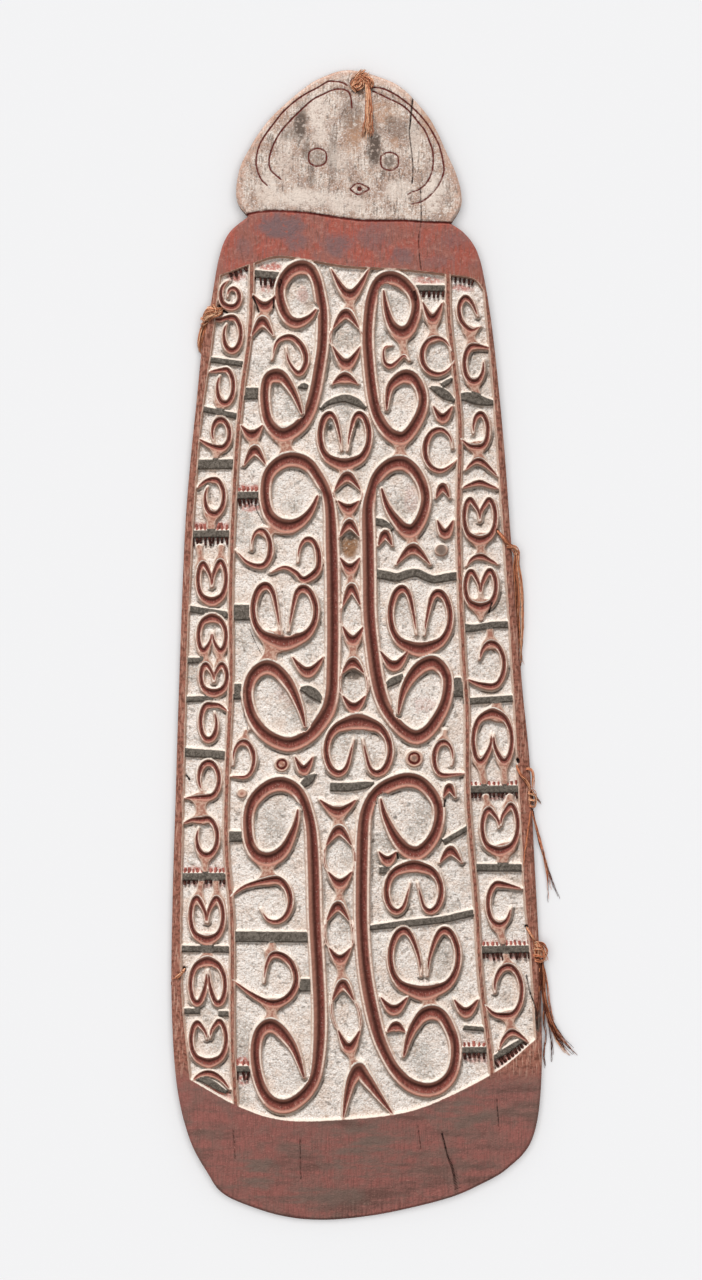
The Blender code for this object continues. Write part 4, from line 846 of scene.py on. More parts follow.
# Noises on the object's own coordinates: scale, detail, stretch, roughness
woodNoise = {
    "fine": (360, 3, (1, 1, 1), 0.7), "middle": (170, 4), "coarse": (30, 3), "grain": (70, 4, (7, 0.6, 1)),
    "streak": (230, 2, (1, 0.25, 1), 0.6), "brushed": (24, 4, (0.45, 2.2, 1), 0.6),
}
# Coats of paint: the source, where it starts and where it is full, the paint and the most of it.
# A worn patch has its name at the end.
woodCoats = {
    "ground": [
        ("coarse", 0.46, 0.68, "limeWarm", 1.0), ("middle", 0.54, 0.70, "bareWood", 0.5),
        ("middle", 0.30, 0.56, "smudge", 1.0, "smudge"), ("pebble", 0.55, 0.85, "bareWood", 0.6),
        ("fine", 0.50, 0.64, "bareWood", 0.55), ("fine", 0.44, 0.36, "chalk", 0.7), ("pit", 0.1, 0.7, "speck", 0.5),
        ("middle", 0.30, 0.56, "pink", 1.0, "patchPink"), ("middle", 0.20, 0.50, "brown", 1.0, "patchBrown"),
        ("middle", 0.20, 0.50, "soot", 1.0, "patchDark"), ("fine", 0.60, 0.70, "speck", 0.6),
    ],
    # painted light and painted shade: lighter where they face the light, darker brown where they face away, with dark
    # flecks
    "wall": [
        ("facing", 0.08, 0.45, "wallPaintedLight", 1.0), ("facing", -0.08, -0.45, "wallPaintedShadeAndFleck", 1.0),
        ("fine", 0.56, 0.68, "wallPaintedShadeAndFleck", 0.5),
    ],
    # whitewash worn in patches, tan and pink towards the rim
    "headPale": [
        ("coarse", 0.40, 0.60, "headMid", 1.0), ("grain", 0.44, 0.62, "headMid", 0.7),
        ("middle", 0.48, 0.62, "headTan", 0.45), ("streak", 0.53, 0.66, "headDark", 0.6),
        ("fine", 0.54, 0.64, "headDark", 0.5), ("fine", 0.46, 0.36, "chalk", 0.6),
        ("middle", 0.28, 0.54, "headPink", 1.0, "tan"), ("middle", 0.30, 0.56, "headTan", 1.0, "patchTan"),
        ("middle", 0.24, 0.50, "headDark", 1.0, "patchDark"), ("middle", 0.30, 0.56, "headPale", 1.0, "patchLight"),
    ],
    "rim": [("middle", 0.42, 0.62, "rimDark", 1.0), ("grain", 0.52, 0.64, "rimPale", 0.6)],
    "topBand": [
        ("coarse", 0.40, 0.60, "topRed", 1.0), ("grain", 0.46, 0.64, "topPatch", 0.45),
        ("middle", 0.50, 0.68, "topPale", 0.45), ("streak", 0.54, 0.68, "rimDark", 0.5),
        ("middle", 0.24, 0.50, "topPatch", 1.0, "patchDark"),
    ],
    "footRed": [
        ("brushed", 0.40, 0.60, "foot", 1.0), ("brushed", 0.50, 0.66, "footDark", 0.75),
        ("grain", 0.44, 0.64, "footDark", 0.5), ("fine", 0.58, 0.70, "rimPale", 0.3),
        ("coarse", 0.44, 0.62, "footGrey", 0.35), ("brushed", 0.32, 0.56, "footGrey", 0.8, "footGrey"),
    ],
    "sooty": [("middle", 0.24, 0.50, "soot", 1.0, "soot")],
    "neck": [("middle", 0.42, 0.60, "neckPale", 1.0), ("fine", 0.58, 0.70, "rimDark", 0.4)],
    "charcoal": [("middle", 0.40, 0.60, "charcoalDark", 1.0), ("fine", 0.50, 0.64, "charcoalPale", 0.5)],
    # painted light on the bar walls that face the light
    "barWall": [("facing", 0.08, 0.45, "wallPaintedLight", 1.0)],
    "red": [
        ("middle", 0.38, 0.62, "redDeep", 1.0), ("grain", 0.54, 0.70, "redPale", 0.6),
        ("fine", 0.58, 0.70, "crestMid", 0.35), ("streak", 0.56, 0.68, "groove", 0.5),
        # painted light and shade: a paler slope under the upper crest, on the side towards the light where the channel
        # lies in shade, paler towards the crests, and a painted shade line at the bottom of the channel
        ("side", 0.45, 0.66, "slope", 1.0), ("across", 0.60, 0.98, "neckPale", 0.6),
        ("across", 0.56, 0.04, "groove", 0.88),
    ],
    # painted light and shade on the crests: salmon away from the light, cream towards it
    "salmon": [
        ("side", 0.02, 0.26, "crestMid", 1.0), ("side", 0.58, 0.90, "crest", 1.0), ("middle", 0.50, 0.66, "neck", 0.5),
    ],
}
# Where the paints meet. Each edge has how many squares inside its form the paint starts, and its softness.
woodPaint = {
    # how the painted shadow beside the bands reaches out, on the side away from the light
    "pebbles": 300, "wobble": 1.9, "wobbleAcross": 0.06, "shadowSide": (0.5, 0.1), "paintedShadowBeside": (6.0, 2.2, 0.6),
    # where the painted shadow lines at the feet of those walls lie, and in which patches
    "paintedShadowLineAt": 3.4, "paintedShadowLine": (1.1, 0.3, 0.7), "paintedShadowLinePatch": (0.48, 0.58), "crestFrom": (0.83, 0.94),
    "bandWall": (-1.2, 0.5), "band": (-0.1, 0.5), "rimWall": (-1.4, 0.5), "rim": (0.7, 0.5),
    "neckWall": (-1.0, 0.5), "neck": (0.7, 0.6), "barWall": (-1.3, 0.5), "bar": (0.1, 0.6),
    "studWall": (-0.8, 0.5), "stud": (0.8, 0.5), "studTop": (2.8, 0.5), "line": (0.1, 0.5), "crack": (0.1, 0.5),
    "bumpFine": 0.5, "bumpMiddle": 0.4, "dents": 0.4, "finish": (0.86, 1.0, 0.0026),
}
tone = {name: colour(*value) for name, value in woodLook.items()}


class nodeDesk:
    # short calls for laying out a tree of nodes
    def __init__(self, tree):
        self.tree, self.nodes, self.links = tree, tree.nodes, tree.links

    def put(self, kind, **settings):
        node = self.nodes.new(kind)
        for key, value in settings.items():
            setattr(node, key, value)
        return node

    def join(self, value, socket):
        if isinstance(value, bpy.types.NodeSocket):
            self.links.new(value, socket)
        else:
            socket.default_value = value

    def add(self, kind, settings=None, **values):
        # a node with its sockets set by name, a space written as an underscore
        node = self.put(kind, **(settings or {}))
        for key, value in values.items():
            self.join(value, [s for s in node.inputs if s.name == key.replace("_", " ") and s.enabled][0])
        return node

    def get(self, kind, settings=None, **values):
        # the same, for its first output
        return [s for s in self.add(kind, settings, **values).outputs if s.enabled][0]

    def math(self, operation, *values, kind="ShaderNodeMath"):
        node = self.put(kind, operation=operation)
        for value, socket in zip(values, node.inputs):
            self.join(value, socket)
        return node.outputs[0]

    def ramp(self, value, low, high, most=1.0):
        # 0 up to low and most from high, also where low is the larger
        return self.get("ShaderNodeMapRange", {"interpolation_type": "SMOOTHSTEP"}, Value=value, From_Min=low,
                        From_Max=high, To_Max=most)

    def blend(self, amount, first, second):
        return self.get("ShaderNodeMix", {"data_type": "RGBA"}, Factor=amount, A=first, B=second)

    def field(self, name):
        return self.put("ShaderNodeAttribute", attribute_name=name).outputs["Fac"]

    def place(self):
        return self.put("ShaderNodeTexCoord").outputs["Object"]

    def noise(self, scale, detail=3.0, stretch=(1, 1, 1), roughness=0.55):
        stretched = self.get("ShaderNodeMapping", Vector=self.place(), Scale=stretch)
        return self.get("ShaderNodeTexNoise", Vector=stretched, Scale=scale, Detail=detail, Roughness=roughness)

    def coat(self, sources, surface, coats):
        # coats on a surface, each paint by its name or as red, green and blue
        for source, low, high, paint, most, *patch in coats:
            amount = self.ramp(sources[source], low, high, most)
            if patch:
                amount = self.math("MULTIPLY", self.field(patch[0]), amount)
            surface = self.blend(amount, surface, tone[paint] if paint in tone else colour(*paint))
        return surface

    def finish(self, surface, rough, roughness, strength, depth):
        shader = self.nodes["Principled BSDF"]
        bump = self.add("ShaderNodeBump", Strength=strength, Distance=depth, Height=rough)
        for name, value in (("Base Color", surface), ("Roughness", roughness), ("Specular IOR Level", 0.2),
                            ("Normal", bump.outputs["Normal"])):
            self.join(value, shader.inputs[name])


def newMaterial(name):
    material = bpy.data.materials.new(name)
    material.use_nodes = True
    return material, nodeDesk(material.node_tree)


def plainMaterial(name, look):
    # coats on one paint, the bump from a weighted sum of its noises
    material, desk = newMaterial(name)
    sources = {key: desk.field(value) if isinstance(value, str) else desk.noise(*value)
               for key, value in look["sources"].items()}
    surface = desk.coat(sources, colour(*look["first"]), look["coats"])
    rough = 0.0
    for key, weight in look["bump"]:
        rough = desk.math("ADD", rough, desk.math("MULTIPLY", sources[key], weight))
    desk.finish(surface, rough, *look["finish"])
    return material


def paintedWood():
    material, desk = newMaterial("paintedWood")
    look = woodPaint
    sources = {name: desk.noise(*values) for name, values in woodNoise.items()}
    middle = sources["middle"]
    wobble = desk.math("MULTIPLY", desk.math("SUBTRACT", middle, 0.5), look["wobble"])
    pebble = desk.get("ShaderNodeTexVoronoi", {"feature": "F1"}, Vector=desk.place(), Scale=look["pebbles"])
    wobbleAcross = desk.math("MULTIPLY", wobble, look["wobbleAcross"])
    sources.update(pebble=pebble, pit=desk.field("pit"), facing=desk.field("facing"), side=desk.field("bandSide"),
                   across=desk.math("ADD", desk.field("bandAcross"), wobbleAcross))

    def coat(name, surface=None):
        return desk.coat(sources, surface or tone[name], woodCoats[name])

    def over(surface, name, top, inset, soft):
        # lays the paint top on everything that is at least inset squares inside a form
        edge = desk.math("ADD", desk.field(name), wobble)
        return desk.blend(desk.ramp(edge, soft - inset, -soft - inset), surface, top)

    # sunk ground, with painted shadow and, in patches, painted shadow lines at the feet of the walls that face away
    # from the light
    far = desk.ramp(sources["side"], *look["shadowSide"])
    besideBand = desk.math("ADD", desk.field("bandEdge"), wobble)
    paintedShadowBeside = desk.math("MULTIPLY", desk.ramp(besideBand, *look["paintedShadowBeside"]), far)
    surface = desk.blend(paintedShadowBeside, coat("ground", tone["lime"]), tone["groundPaintedShadow"])
    # painted shadow lines in the crack colour, in patches, at the feet of the walls that face away from the light
    paintedShadowLine = desk.ramp(desk.math("ABSOLUTE", desk.math("SUBTRACT", besideBand, look["paintedShadowLineAt"])), *look["paintedShadowLine"])
    cut = desk.math("MULTIPLY", paintedShadowLine, desk.ramp(sources["coarse"], *look["paintedShadowLinePatch"]))
    surface = desk.blend(desk.math("MULTIPLY", cut, far), surface, tone["crack"])
    wall = coat("wall")
    surface = over(surface, "bandEdge", wall, *look["bandWall"])

    # rims, the band under the head, the foot and the head
    plain = desk.blend(desk.field("bandZone"), coat("rim"), coat("topBand"))
    plain = coat("sooty", desk.blend(desk.field("footZone"), plain, coat("footRed")))
    surface = over(surface, "rimEdge", wall, *look["rimWall"])
    surface = over(surface, "rimEdge", plain, *look["rim"])
    surface = desk.blend(desk.field("headZone"), surface, coat("headPale"))

    # necks, charcoal bars, studs, carved bands, incised lines and cracks
    neck, bar, dark = coat("neck"), coat("charcoal"), desk.field("patchDark")
    carved = desk.blend(desk.ramp(sources["across"], *look["crestFrom"]), coat("red"), coat("salmon"))
    for name, edge, top in (
            ("neckEdge", "neckWall", wall), ("neckEdge", "neck", neck), ("barEdge", "barWall", coat("barWall", bar)),
            ("barEdge", "bar", bar), ("studEdge", "studWall", wall),
            ("studEdge", "stud", desk.blend(dark, tone["neckPale"], tone["charcoal"])),
            ("studEdge", "studTop", desk.blend(dark, neck, tone["charcoal"])), ("bandEdge", "band", carved),
            ("lineEdge", "line", tone["incisedLine"]), ("crackEdge", "crack", tone["crack"])):
        surface = over(surface, name, top, *look[edge])
    rough = desk.math("ADD", desk.math("MULTIPLY", sources["fine"], look["bumpFine"]),
                      desk.math("MULTIPLY", middle, look["bumpMiddle"]))
    dents = desk.math("MULTIPLY", pebble, desk.math("MULTIPLY", desk.field("groundShare"), look["dents"]))
    desk.finish(surface, desk.math("SUBTRACT", rough, dents), *look["finish"])
    return material


# Patches by place: column, row, half width, half height, strength
patches = {
    "patchDark": [
        (300, 124, 7, 19, 0.95), (306, 150, 5, 14, 0.6), (311, 176, 4, 16, 0.5), (375, 148, 7, 18, 1.0),
        (372, 126, 6, 14, 0.5), (352, 112, 12, 20, 0.45), (398, 128, 16, 12, 0.4), (333, 155, 5, 30, 0.5),
        (290, 132, 10, 8, 0.5), (392, 122, 8, 8, 0.45), (317.5, 157, 7, 7, 0.5), (389.5, 161, 7, 7, 0.7),
        (282, 228, 25, 13, 1.0), (296, 240, 12, 10, 0.8), (336, 246, 13, 12, 0.8), (372, 238, 16, 16, 0.5),
        (402, 256, 12, 9, 0.7), (455, 240, 14, 10, 0.4), (243, 246, 9, 10, 0.4), (436, 262, 14, 8, 0.4),
        (329.5, 428, 4, 4.2, 1.0), (357.5, 426, 4, 4, 1.0), (350, 537, 5, 4, 0.9), (300, 282, 8, 3, 0.6),
        (352, 675, 7, 6, 0.8), (311, 698, 8, 7, 0.5), (234, 291, 2.5, 3.5, 0.9), (426, 798, 3, 3, 0.8),
        (395, 817, 2.5, 2, 0.8), (271, 372, 4, 3, 0.5), (441, 550, 8, 8, 0.8), (414, 758, 3, 3, 0.6),
    ],
    "patchLight": [
        (318, 112, 10, 18, 1.0), (320, 134, 7, 12, 0.8), (308, 198, 30, 11, 0.9), (432, 192, 12, 20, 1.0),
        (268, 190, 14, 16, 0.8), (346, 205, 24, 8, 0.8), (415, 130, 7, 28, 0.6), (340, 160, 10, 16, 0.5),
        (398, 190, 16, 10, 0.6), (284, 160, 10, 16, 0.6),
    ],
    "patchTan": [
        (357, 128, 12, 16, 0.8), (384, 112, 14, 14, 0.6), (350, 146, 10, 10, 0.5), (268, 196, 10, 8, 0.4),
        (428, 120, 10, 18, 0.5), (395, 142, 6, 8, 0.6), (362, 84, 9, 10, 0.8),
    ],
    "footGrey": [
        (366, 1150, 44, 28, 0.9), (254, 1174, 22, 22, 0.9), (464, 1114, 28, 16, 0.8), (320, 1198, 48, 12, 0.7),
        (440, 1150, 22, 12, 0.5), (300, 1150, 30, 8, 0.4),
    ],
    "patchBrown": [(350, 547, 11, 13, 1.0), (311, 305, 5, 4, 0.4), (353, 675, 7, 6, 0.5)],
    "patchPink": [
        (303, 294, 6, 9, 0.35), (424, 705, 12, 8, 0.25), (288, 690, 12, 16, 0.2), (410, 500, 7, 14, 0.25),
        (272, 267, 12, 5, 0.9), (236, 276, 9, 5, 0.9), (428, 280, 15, 4.5, 0.8), (461, 287, 13, 4.5, 0.8),
        (250, 489, 12, 4, 0.8), (250, 507, 12, 5, 0.8), (210, 526, 20, 5, 0.8), (243, 1062, 7, 5, 0.9),
        (243, 1080, 7, 7, 0.9), (267, 288, 8, 5, 0.6), (206, 884, 22, 4, 0.6), (493, 797, 22, 4, 0.6),
        (505, 957, 22, 5, 0.7), (474, 1058, 15, 5, 0.6), (213, 1092, 20, 8, 0.9), (513, 1060, 21, 9, 0.9),
        (205, 870, 20, 3.5, 0.6),
    ],
}


# Ragged edges of the patches, and the zones of the ground paints by row
patchEdge = {"ragged": 0.5, "waves": (7, 9, 70, 3), "from": 0.55, "fade": 0.7}
zone = {"band": 262, "bandEnd": 300, "foot": 1060, "fade": 30, "tan": 0.55, "tanFrom": 2, "tanFade": 9,
        "smudge": 0.75, "smudgeWaves": (26, 34, 40, 3), "smudgeSwing": 1.8, "smudgeFrom": 0.1, "sootFrom": 900,
        "soot": [(538, 1022, 4, 14, 0.9), (486, 1166, 12, 5, 0.4)]}


def blobs(places):
    total = np.zeros(shape)
    ragged = 1 + patchEdge["ragged"] * waves(*patchEdge["waves"])
    for column, row, halfWidth, halfHeight, strength in places:
        far = np.hypot((gridX - column) / halfWidth, (gridY - row) / halfHeight) * ragged
        total = np.maximum(total, strength * (1 - ease((far - patchEdge["from"]) / patchEdge["fade"])))
    return total


def zoneFields():
    # where each ground paint lies, from 0 to 1
    grooveRow = np.interp(gridX, *smoothLine(outlines["neckGroove"]).T)
    headZone = (gridY < grooveRow).astype(float)
    field["headZone"] = headZone
    inBand = (1 - headZone) * (gridY < zone["bandEnd"]) * ~sunk
    field["bandZone"] = inBand * (1 - ease((gridY - zone["band"]) / zone["fade"]))
    field["footZone"] = ease((gridY - zone["foot"]) / zone["fade"]) * ~sunk
    field["tan"] = headZone * (1 - ease((rimGap - zone["tanFrom"]) / zone["tanFade"])) * zone["tan"]
    smudges = waves(*zone["smudgeWaves"]) * zone["smudgeSwing"] - zone["smudgeFrom"]
    field["smudge"] = ease(smudges) * zone["smudge"]
    for name, places in patches.items():
        field[name] = blobs(places)
    field["soot"] = field["patchDark"] * (gridY > zone["sootFrom"]) + blobs(zone["soot"])
    field["pit"] = pits * groundShare * sunk
    field["groundShare"] = groundShare * sunk
    # how much each place faces the key light: the paint turns it into painted light and painted shade on the walls
    toLight = np.array(studio["keyPlace"][:2]) / np.hypot(*studio["keyPlace"][:2])
    field["facing"] = normals[..., 0] * toLight[0] + normals[..., 1] * toLight[1]


normals = normalsOf(pointX, pointY, height)
zoneFields()
wood = paintedWood()
cuts = np.linspace(0, len(rows) - 1, front["pieces"] + 1).astype(int)
for number, (start, end) in enumerate(zip(cuts[:-1], cuts[1:]), 1):
    part = slice(start, end + 1)
    piece = gridMesh("carvedFront" + str(number), pointX[part], pointY[part], height[part],
                     {key: values[part] for key, values in field.items()}, normals[part],
                     closeTop=start == 0, closeFoot=end == len(rows) - 1)
    dress(piece, wood, "carved_wood", "board")


# Edge and back: a flat seat on the ground, a shallow hollow and the grip across it
back = {"columns": 44, "bunching": 0.35, "seat": 0.014, "blend": 0.060, "hollow": 0.040, "tool": 0.0010,
        "toolRows": (9.0, 0.8, 21.0), "toolColumns": 6.5, "inset": 0.0012, "bevel": 0.0025}
backLook = {
    "sources": {"grain": (60, 5, (8, 0.5, 1)), "middle": (120, 4), "coarse": (14, 3)}, "first": (126, 88, 66),
    "coats": [("grain", 0.36, 0.64, (84, 56, 42), 1.0), ("coarse", 0.44, 0.70, (148, 108, 84), 0.3),
              ("middle", 0.58, 0.70, (60, 42, 34), 0.6)],
    "bump": [("grain", 0.7), ("middle", 0.3)], "finish": (0.8, 0.9, 0.0016),
}


def makeBack():
    evenly = np.linspace(0, 1, back["columns"] + 1)
    spread = back["bunching"] * (0.5 - 0.5 * np.cos(math.pi * evenly)) + (1 - back["bunching"]) * evenly
    x = leftSide[:, None] + (rightSide - leftSide)[:, None] * spread[None, :]
    y = np.repeat(rows[:, None], len(spread), axis=1)
    line = np.vstack([smoothLine(outlines[name], 6) for name in headAndBody])
    margin = np.full(x.shape, 1e9)
    for start in range(0, len(line), 40):
        near = line[start:start + 40]
        margin = np.minimum(margin, np.hypot(x[..., None] - near[:, 0], y[..., None] - near[:, 1]).min(axis=2))
    wayIn = ease((margin * layout["square"] - back["seat"]) / back["blend"])
    long, sway, wide = back["toolRows"]
    marks = (np.sin(y / long + sway * np.sin(x / wide)) * 0.5 + 0.5) * np.sin(x / back["toolColumns"]) ** 2
    z = back["hollow"] * domeAt(x, y) * wayIn + back["tool"] * wayIn * marks
    px, py = toX(x), toY(y)
    walls = []
    for side in (0, 1):
        edgeX, top = px[:, -side][:, None], height[:, -side][:, None]
        inward = (1 - 2 * side) * np.minimum(back["inset"], (px[:, -1:] - px[:, :1]) / 4)
        walls.append([(edgeX, top), (edgeX, top * 0.5), (edgeX, np.full_like(top, back["bevel"])),
                      (edgeX + inward, np.zeros_like(top))])
    allX, allZ = (np.hstack([s[i] for s in walls[0]] + [middle[:, 1:-1]] + [s[i] for s in walls[1][::-1]])
                  for i, middle in ((0, px), (1, z)))
    return gridMesh("backAndEdge", allX, np.repeat(py[:, :1], allX.shape[1], axis=1), allZ, {}, flip=True)


# Grip: one bar left standing across the hollow, its ends running up into the board
grip = {"column": 357.0, "row": 640.2, "half": 0.0725, "bend": 0.0104, "low": 0.0105, "top": 0.0455, "rise": 0.0285,
        "foot": 0.0135, "straight": 0.03, "wide": 0.0118, "thick": 0.0072, "swell": 0.10, "swellFrom": 0.05,
        "swellRun": 0.03, "around": 24, "step": 0.003}


def makeGrip(place):
    half, bend, low = grip["half"], grip["bend"], grip["low"]
    profile = [(-half - bend, grip["top"]), (-half - bend * 0.5, grip["rise"]), (-half, grip["foot"]),
               (-half + bend, low), (-grip["straight"], low)]
    path = smoothLine(profile + [(0, low)] + [(-y, z) for y, z in profile[::-1]], grip["step"])
    way = np.gradient(path, axis=0)
    way /= np.linalg.norm(way, axis=1, keepdims=True)
    turn = np.linspace(0, 2 * math.pi, grip["around"] + 1)
    swell = 1 + grip["swell"] * np.clip((np.abs(path[:, :1]) - grip["swellFrom"]) / grip["swellRun"], 0, 1.5)
    sideways, upward = np.cos(turn)[None, :], np.sin(turn)[None, :]
    x = place[0] + sideways * grip["wide"] * swell
    lift = upward * grip["thick"] * np.minimum(swell, 1.0)
    y, z = place[1] + path[:, :1] - way[:, 1:] * lift, path[:, 1:] + way[:, :1] * lift
    out = np.stack([sideways / grip["wide"] + 0 * z, -way[:, 1:] * upward / grip["thick"],
                    way[:, :1] * upward / grip["thick"]], axis=-1)
    return gridMesh("gripBar", x, y, z, {}, out / np.linalg.norm(out, axis=2, keepdims=True))


backWood = plainMaterial("weatheredBack", backLook)
dress(makeGrip((toX(grip["column"]), toY(grip["row"]))), backWood, "carved_wood", "board")
dress(makeBack(), backWood, "carved_wood", "board")


def surfaceAt(column, row):
    # height of the carved front at a place, the highest within about a square
    r = int(np.searchsorted(rows, row))
    c = int(round((column - leftSide[r]) / max(rightSide[r] - leftSide[r], 1) * front["columns"]))
    c = min(max(c, 1), front["columns"] - 1)
    return float(height[max(r - 1, 0):r + 2, c - 1:c + 2].max())


class treeDesk(nodeDesk):
    # a Geometry Nodes tree with named inputs
    def __init__(self, name, **inputs):
        super().__init__(bpy.data.node_groups.new(name, "GeometryNodeTree"))
        sockets = [("Geometry", "INPUT", "Geometry"), ("Geometry", "OUTPUT", "Geometry")]
        for label, way, kind in sockets + [(label, "INPUT", kind) for label, kind in inputs.items()]:
            self.tree.interface.new_socket(label, in_out=way, socket_type="NodeSocket" + kind)
        self.given = self.put("NodeGroupInput").outputs
        self.curve = self.get("GeometryNodeMeshToCurve", Mesh=self.given["Geometry"])

    def vector(self, operation, *values):
        return self.math(operation, *values, kind="ShaderNodeVectorMath")

    def scaled(self, value, amount):
        return self.get("ShaderNodeVectorMath", {"operation": "SCALE"}, Vector=value, Scale=amount)

    def random(self, kind, later, low, high, **values):
        # a random value from the given seed, moved on by a fixed step
        seed = self.math("ADD", self.given["Seed"], later) if later else self.given["Seed"]
        return self.get("FunctionNodeRandomValue", {"data_type": kind}, Min=low, Max=high, Seed=seed, **values)

    def end(self, geometry):
        realized = self.get("GeometryNodeRealizeInstances", Geometry=geometry)
        final = self.get("GeometryNodeSetMaterial", Geometry=realized, Material=self.given["Material"])
        self.join(final, self.put("NodeGroupOutput").inputs["Geometry"])
        return self.tree


def grown(name, tree, points, edges, values, attributes=None):
    # runs a tree on a drawn line and keeps the plain mesh that it makes
    mesh = bpy.data.meshes.new(name + "Line")
    mesh.from_pydata(points, edges, [])
    for key, numbers in (attributes or {}).items():
        mesh.attributes.new(key, "FLOAT", "POINT").data.foreach_set("value", numbers)
    made = bpy.data.objects.new(name, mesh)
    scene.collection.objects.link(made)
    modifier = made.modifiers.new(tree.name, "NODES")
    modifier.node_group = tree
    for item in tree.interface.items_tree:
        if item.in_out == "INPUT" and item.name in values:
            modifier[item.identifier] = values[item.name]
    evaluated = made.evaluated_get(bpy.context.evaluated_depsgraph_get())
    result = bpy.data.meshes.new_from_object(evaluated)
    made.modifiers.remove(modifier)
    made.data = result
    result.name = name
    return made


# Teeth of the combs, set along the edges of the charcoal bars
teeth = {"spacing": 4.3, "width": 3.1, "top": 0.42, "lift": 0.0036, "tilt": 0.22, "seed": 4, "inset": 1.4,
         "least": (0.75, 0.72, 0.9), "most": (1.15, 1.15, 1.1)}
toothLook = {"sources": {"middle": (170, 4), "fine": (430, 3)}, "bump": [("fine", 1.0)], "finish": (0.86, 0.8, 0.0012)}
darkLook = {**toothLook, "first": (56, 26, 20), "coats": [("middle", 0.46, 0.70, (110, 66, 56), 1.0)]}
redLook = {**toothLook, "first": woodLook["pink"], "coats": [("middle", 0.42, 0.62, "red", 1.0)]}


def combTree():
    desk = treeDesk("combTeeth", Spacing="Float", Length="Float", Width="Float", Tilt="Float", Seed="Int",
                    Material="Material")
    given, get = desk.given, desk.get
    evenly = get("GeometryNodeResampleCurve", {"mode": "LENGTH"}, Curve=desk.curve, Length=given["Spacing"])
    tip, root = (desk.math("MULTIPLY", given["Width"], share) for share in (teeth["top"], 0.5))
    cone = get("GeometryNodeMeshCone", Vertices=4, Side_Segments=2, Radius_Top=tip, Radius_Bottom=root,
               Depth=given["Length"])
    tooth = get("GeometryNodeTransform", Geometry=cone, Rotation=(-math.pi / 2, 0, 0))
    facing = get("FunctionNodeAlignRotationToVector", {"axis": "X", "pivot_axis": "Z"},
                 Vector=get("GeometryNodeInputTangent"))
    bend = get("ShaderNodeCombineXYZ", Z=given["Tilt"])
    turn = get("FunctionNodeEulerToRotation", Euler=desk.random("FLOAT_VECTOR", 0, desk.scaled(bend, -1.0), bend))
    rotation = get("FunctionNodeRotateRotation", {"rotation_space": "LOCAL"}, Rotation=facing, Rotate_By=turn)
    size = desk.random("FLOAT_VECTOR", 7.0, teeth["least"], teeth["most"])
    return desk.end(get("GeometryNodeInstanceOnPoints", Points=evenly, Instance=tooth, Rotation=rotation, Scale=size))


def setTeeth():
    tree, square = combTree(), layout["square"]
    dark, red = plainMaterial("charcoalTeeth", darkLook), plainMaterial("redTeeth", redLook)
    rowsOfTeeth = []   # ends, direction of the teeth (1 towards the foot), their length, colour
    for x0, y0, x1, y1, thickness, above, below in combs:
        for way, long, half in ((-1, above, -thickness / 2), (1, below, thickness / 2)):
            if long:
                rowsOfTeeth.append((x0, y0 + half, x1, y1 + half, way, long, red if way < 0 else dark))
    for x0, y0, x1, y1, long, way in fringes:
        rowsOfTeeth.append((x0, y0, x1, y1, way, long, dark))
    for number, (x0, y0, x1, y1, way, long, paint) in enumerate(rowsOfTeeth, 1):
        inset = teeth["inset"] / max(math.hypot(x1 - x0, y1 - y0), 1)
        ends = (1 - inset, inset) if way > 0 else (inset, 1 - inset)
        points = []
        for t in np.linspace(ends[0], ends[1], 7):
            x, y = x0 + (x1 - x0) * t, y0 + (y1 - y0) * t
            points.append((toX(x), toY(y), float(groundAt(np.array(x), np.array(y))) + teeth["lift"]))
        piece = grown("combTeeth" + str(number), tree, points, [(i, i + 1) for i in range(6)], {
            "Spacing": teeth["spacing"] * square, "Length": long * square, "Width": teeth["width"] * square,
            "Tilt": teeth["tilt"], "Seed": teeth["seed"] + number, "Material": paint})
        piece.data.materials.clear()
        dress(piece, paint, "carved_wood", "board")


setTeeth()
print("combs set")


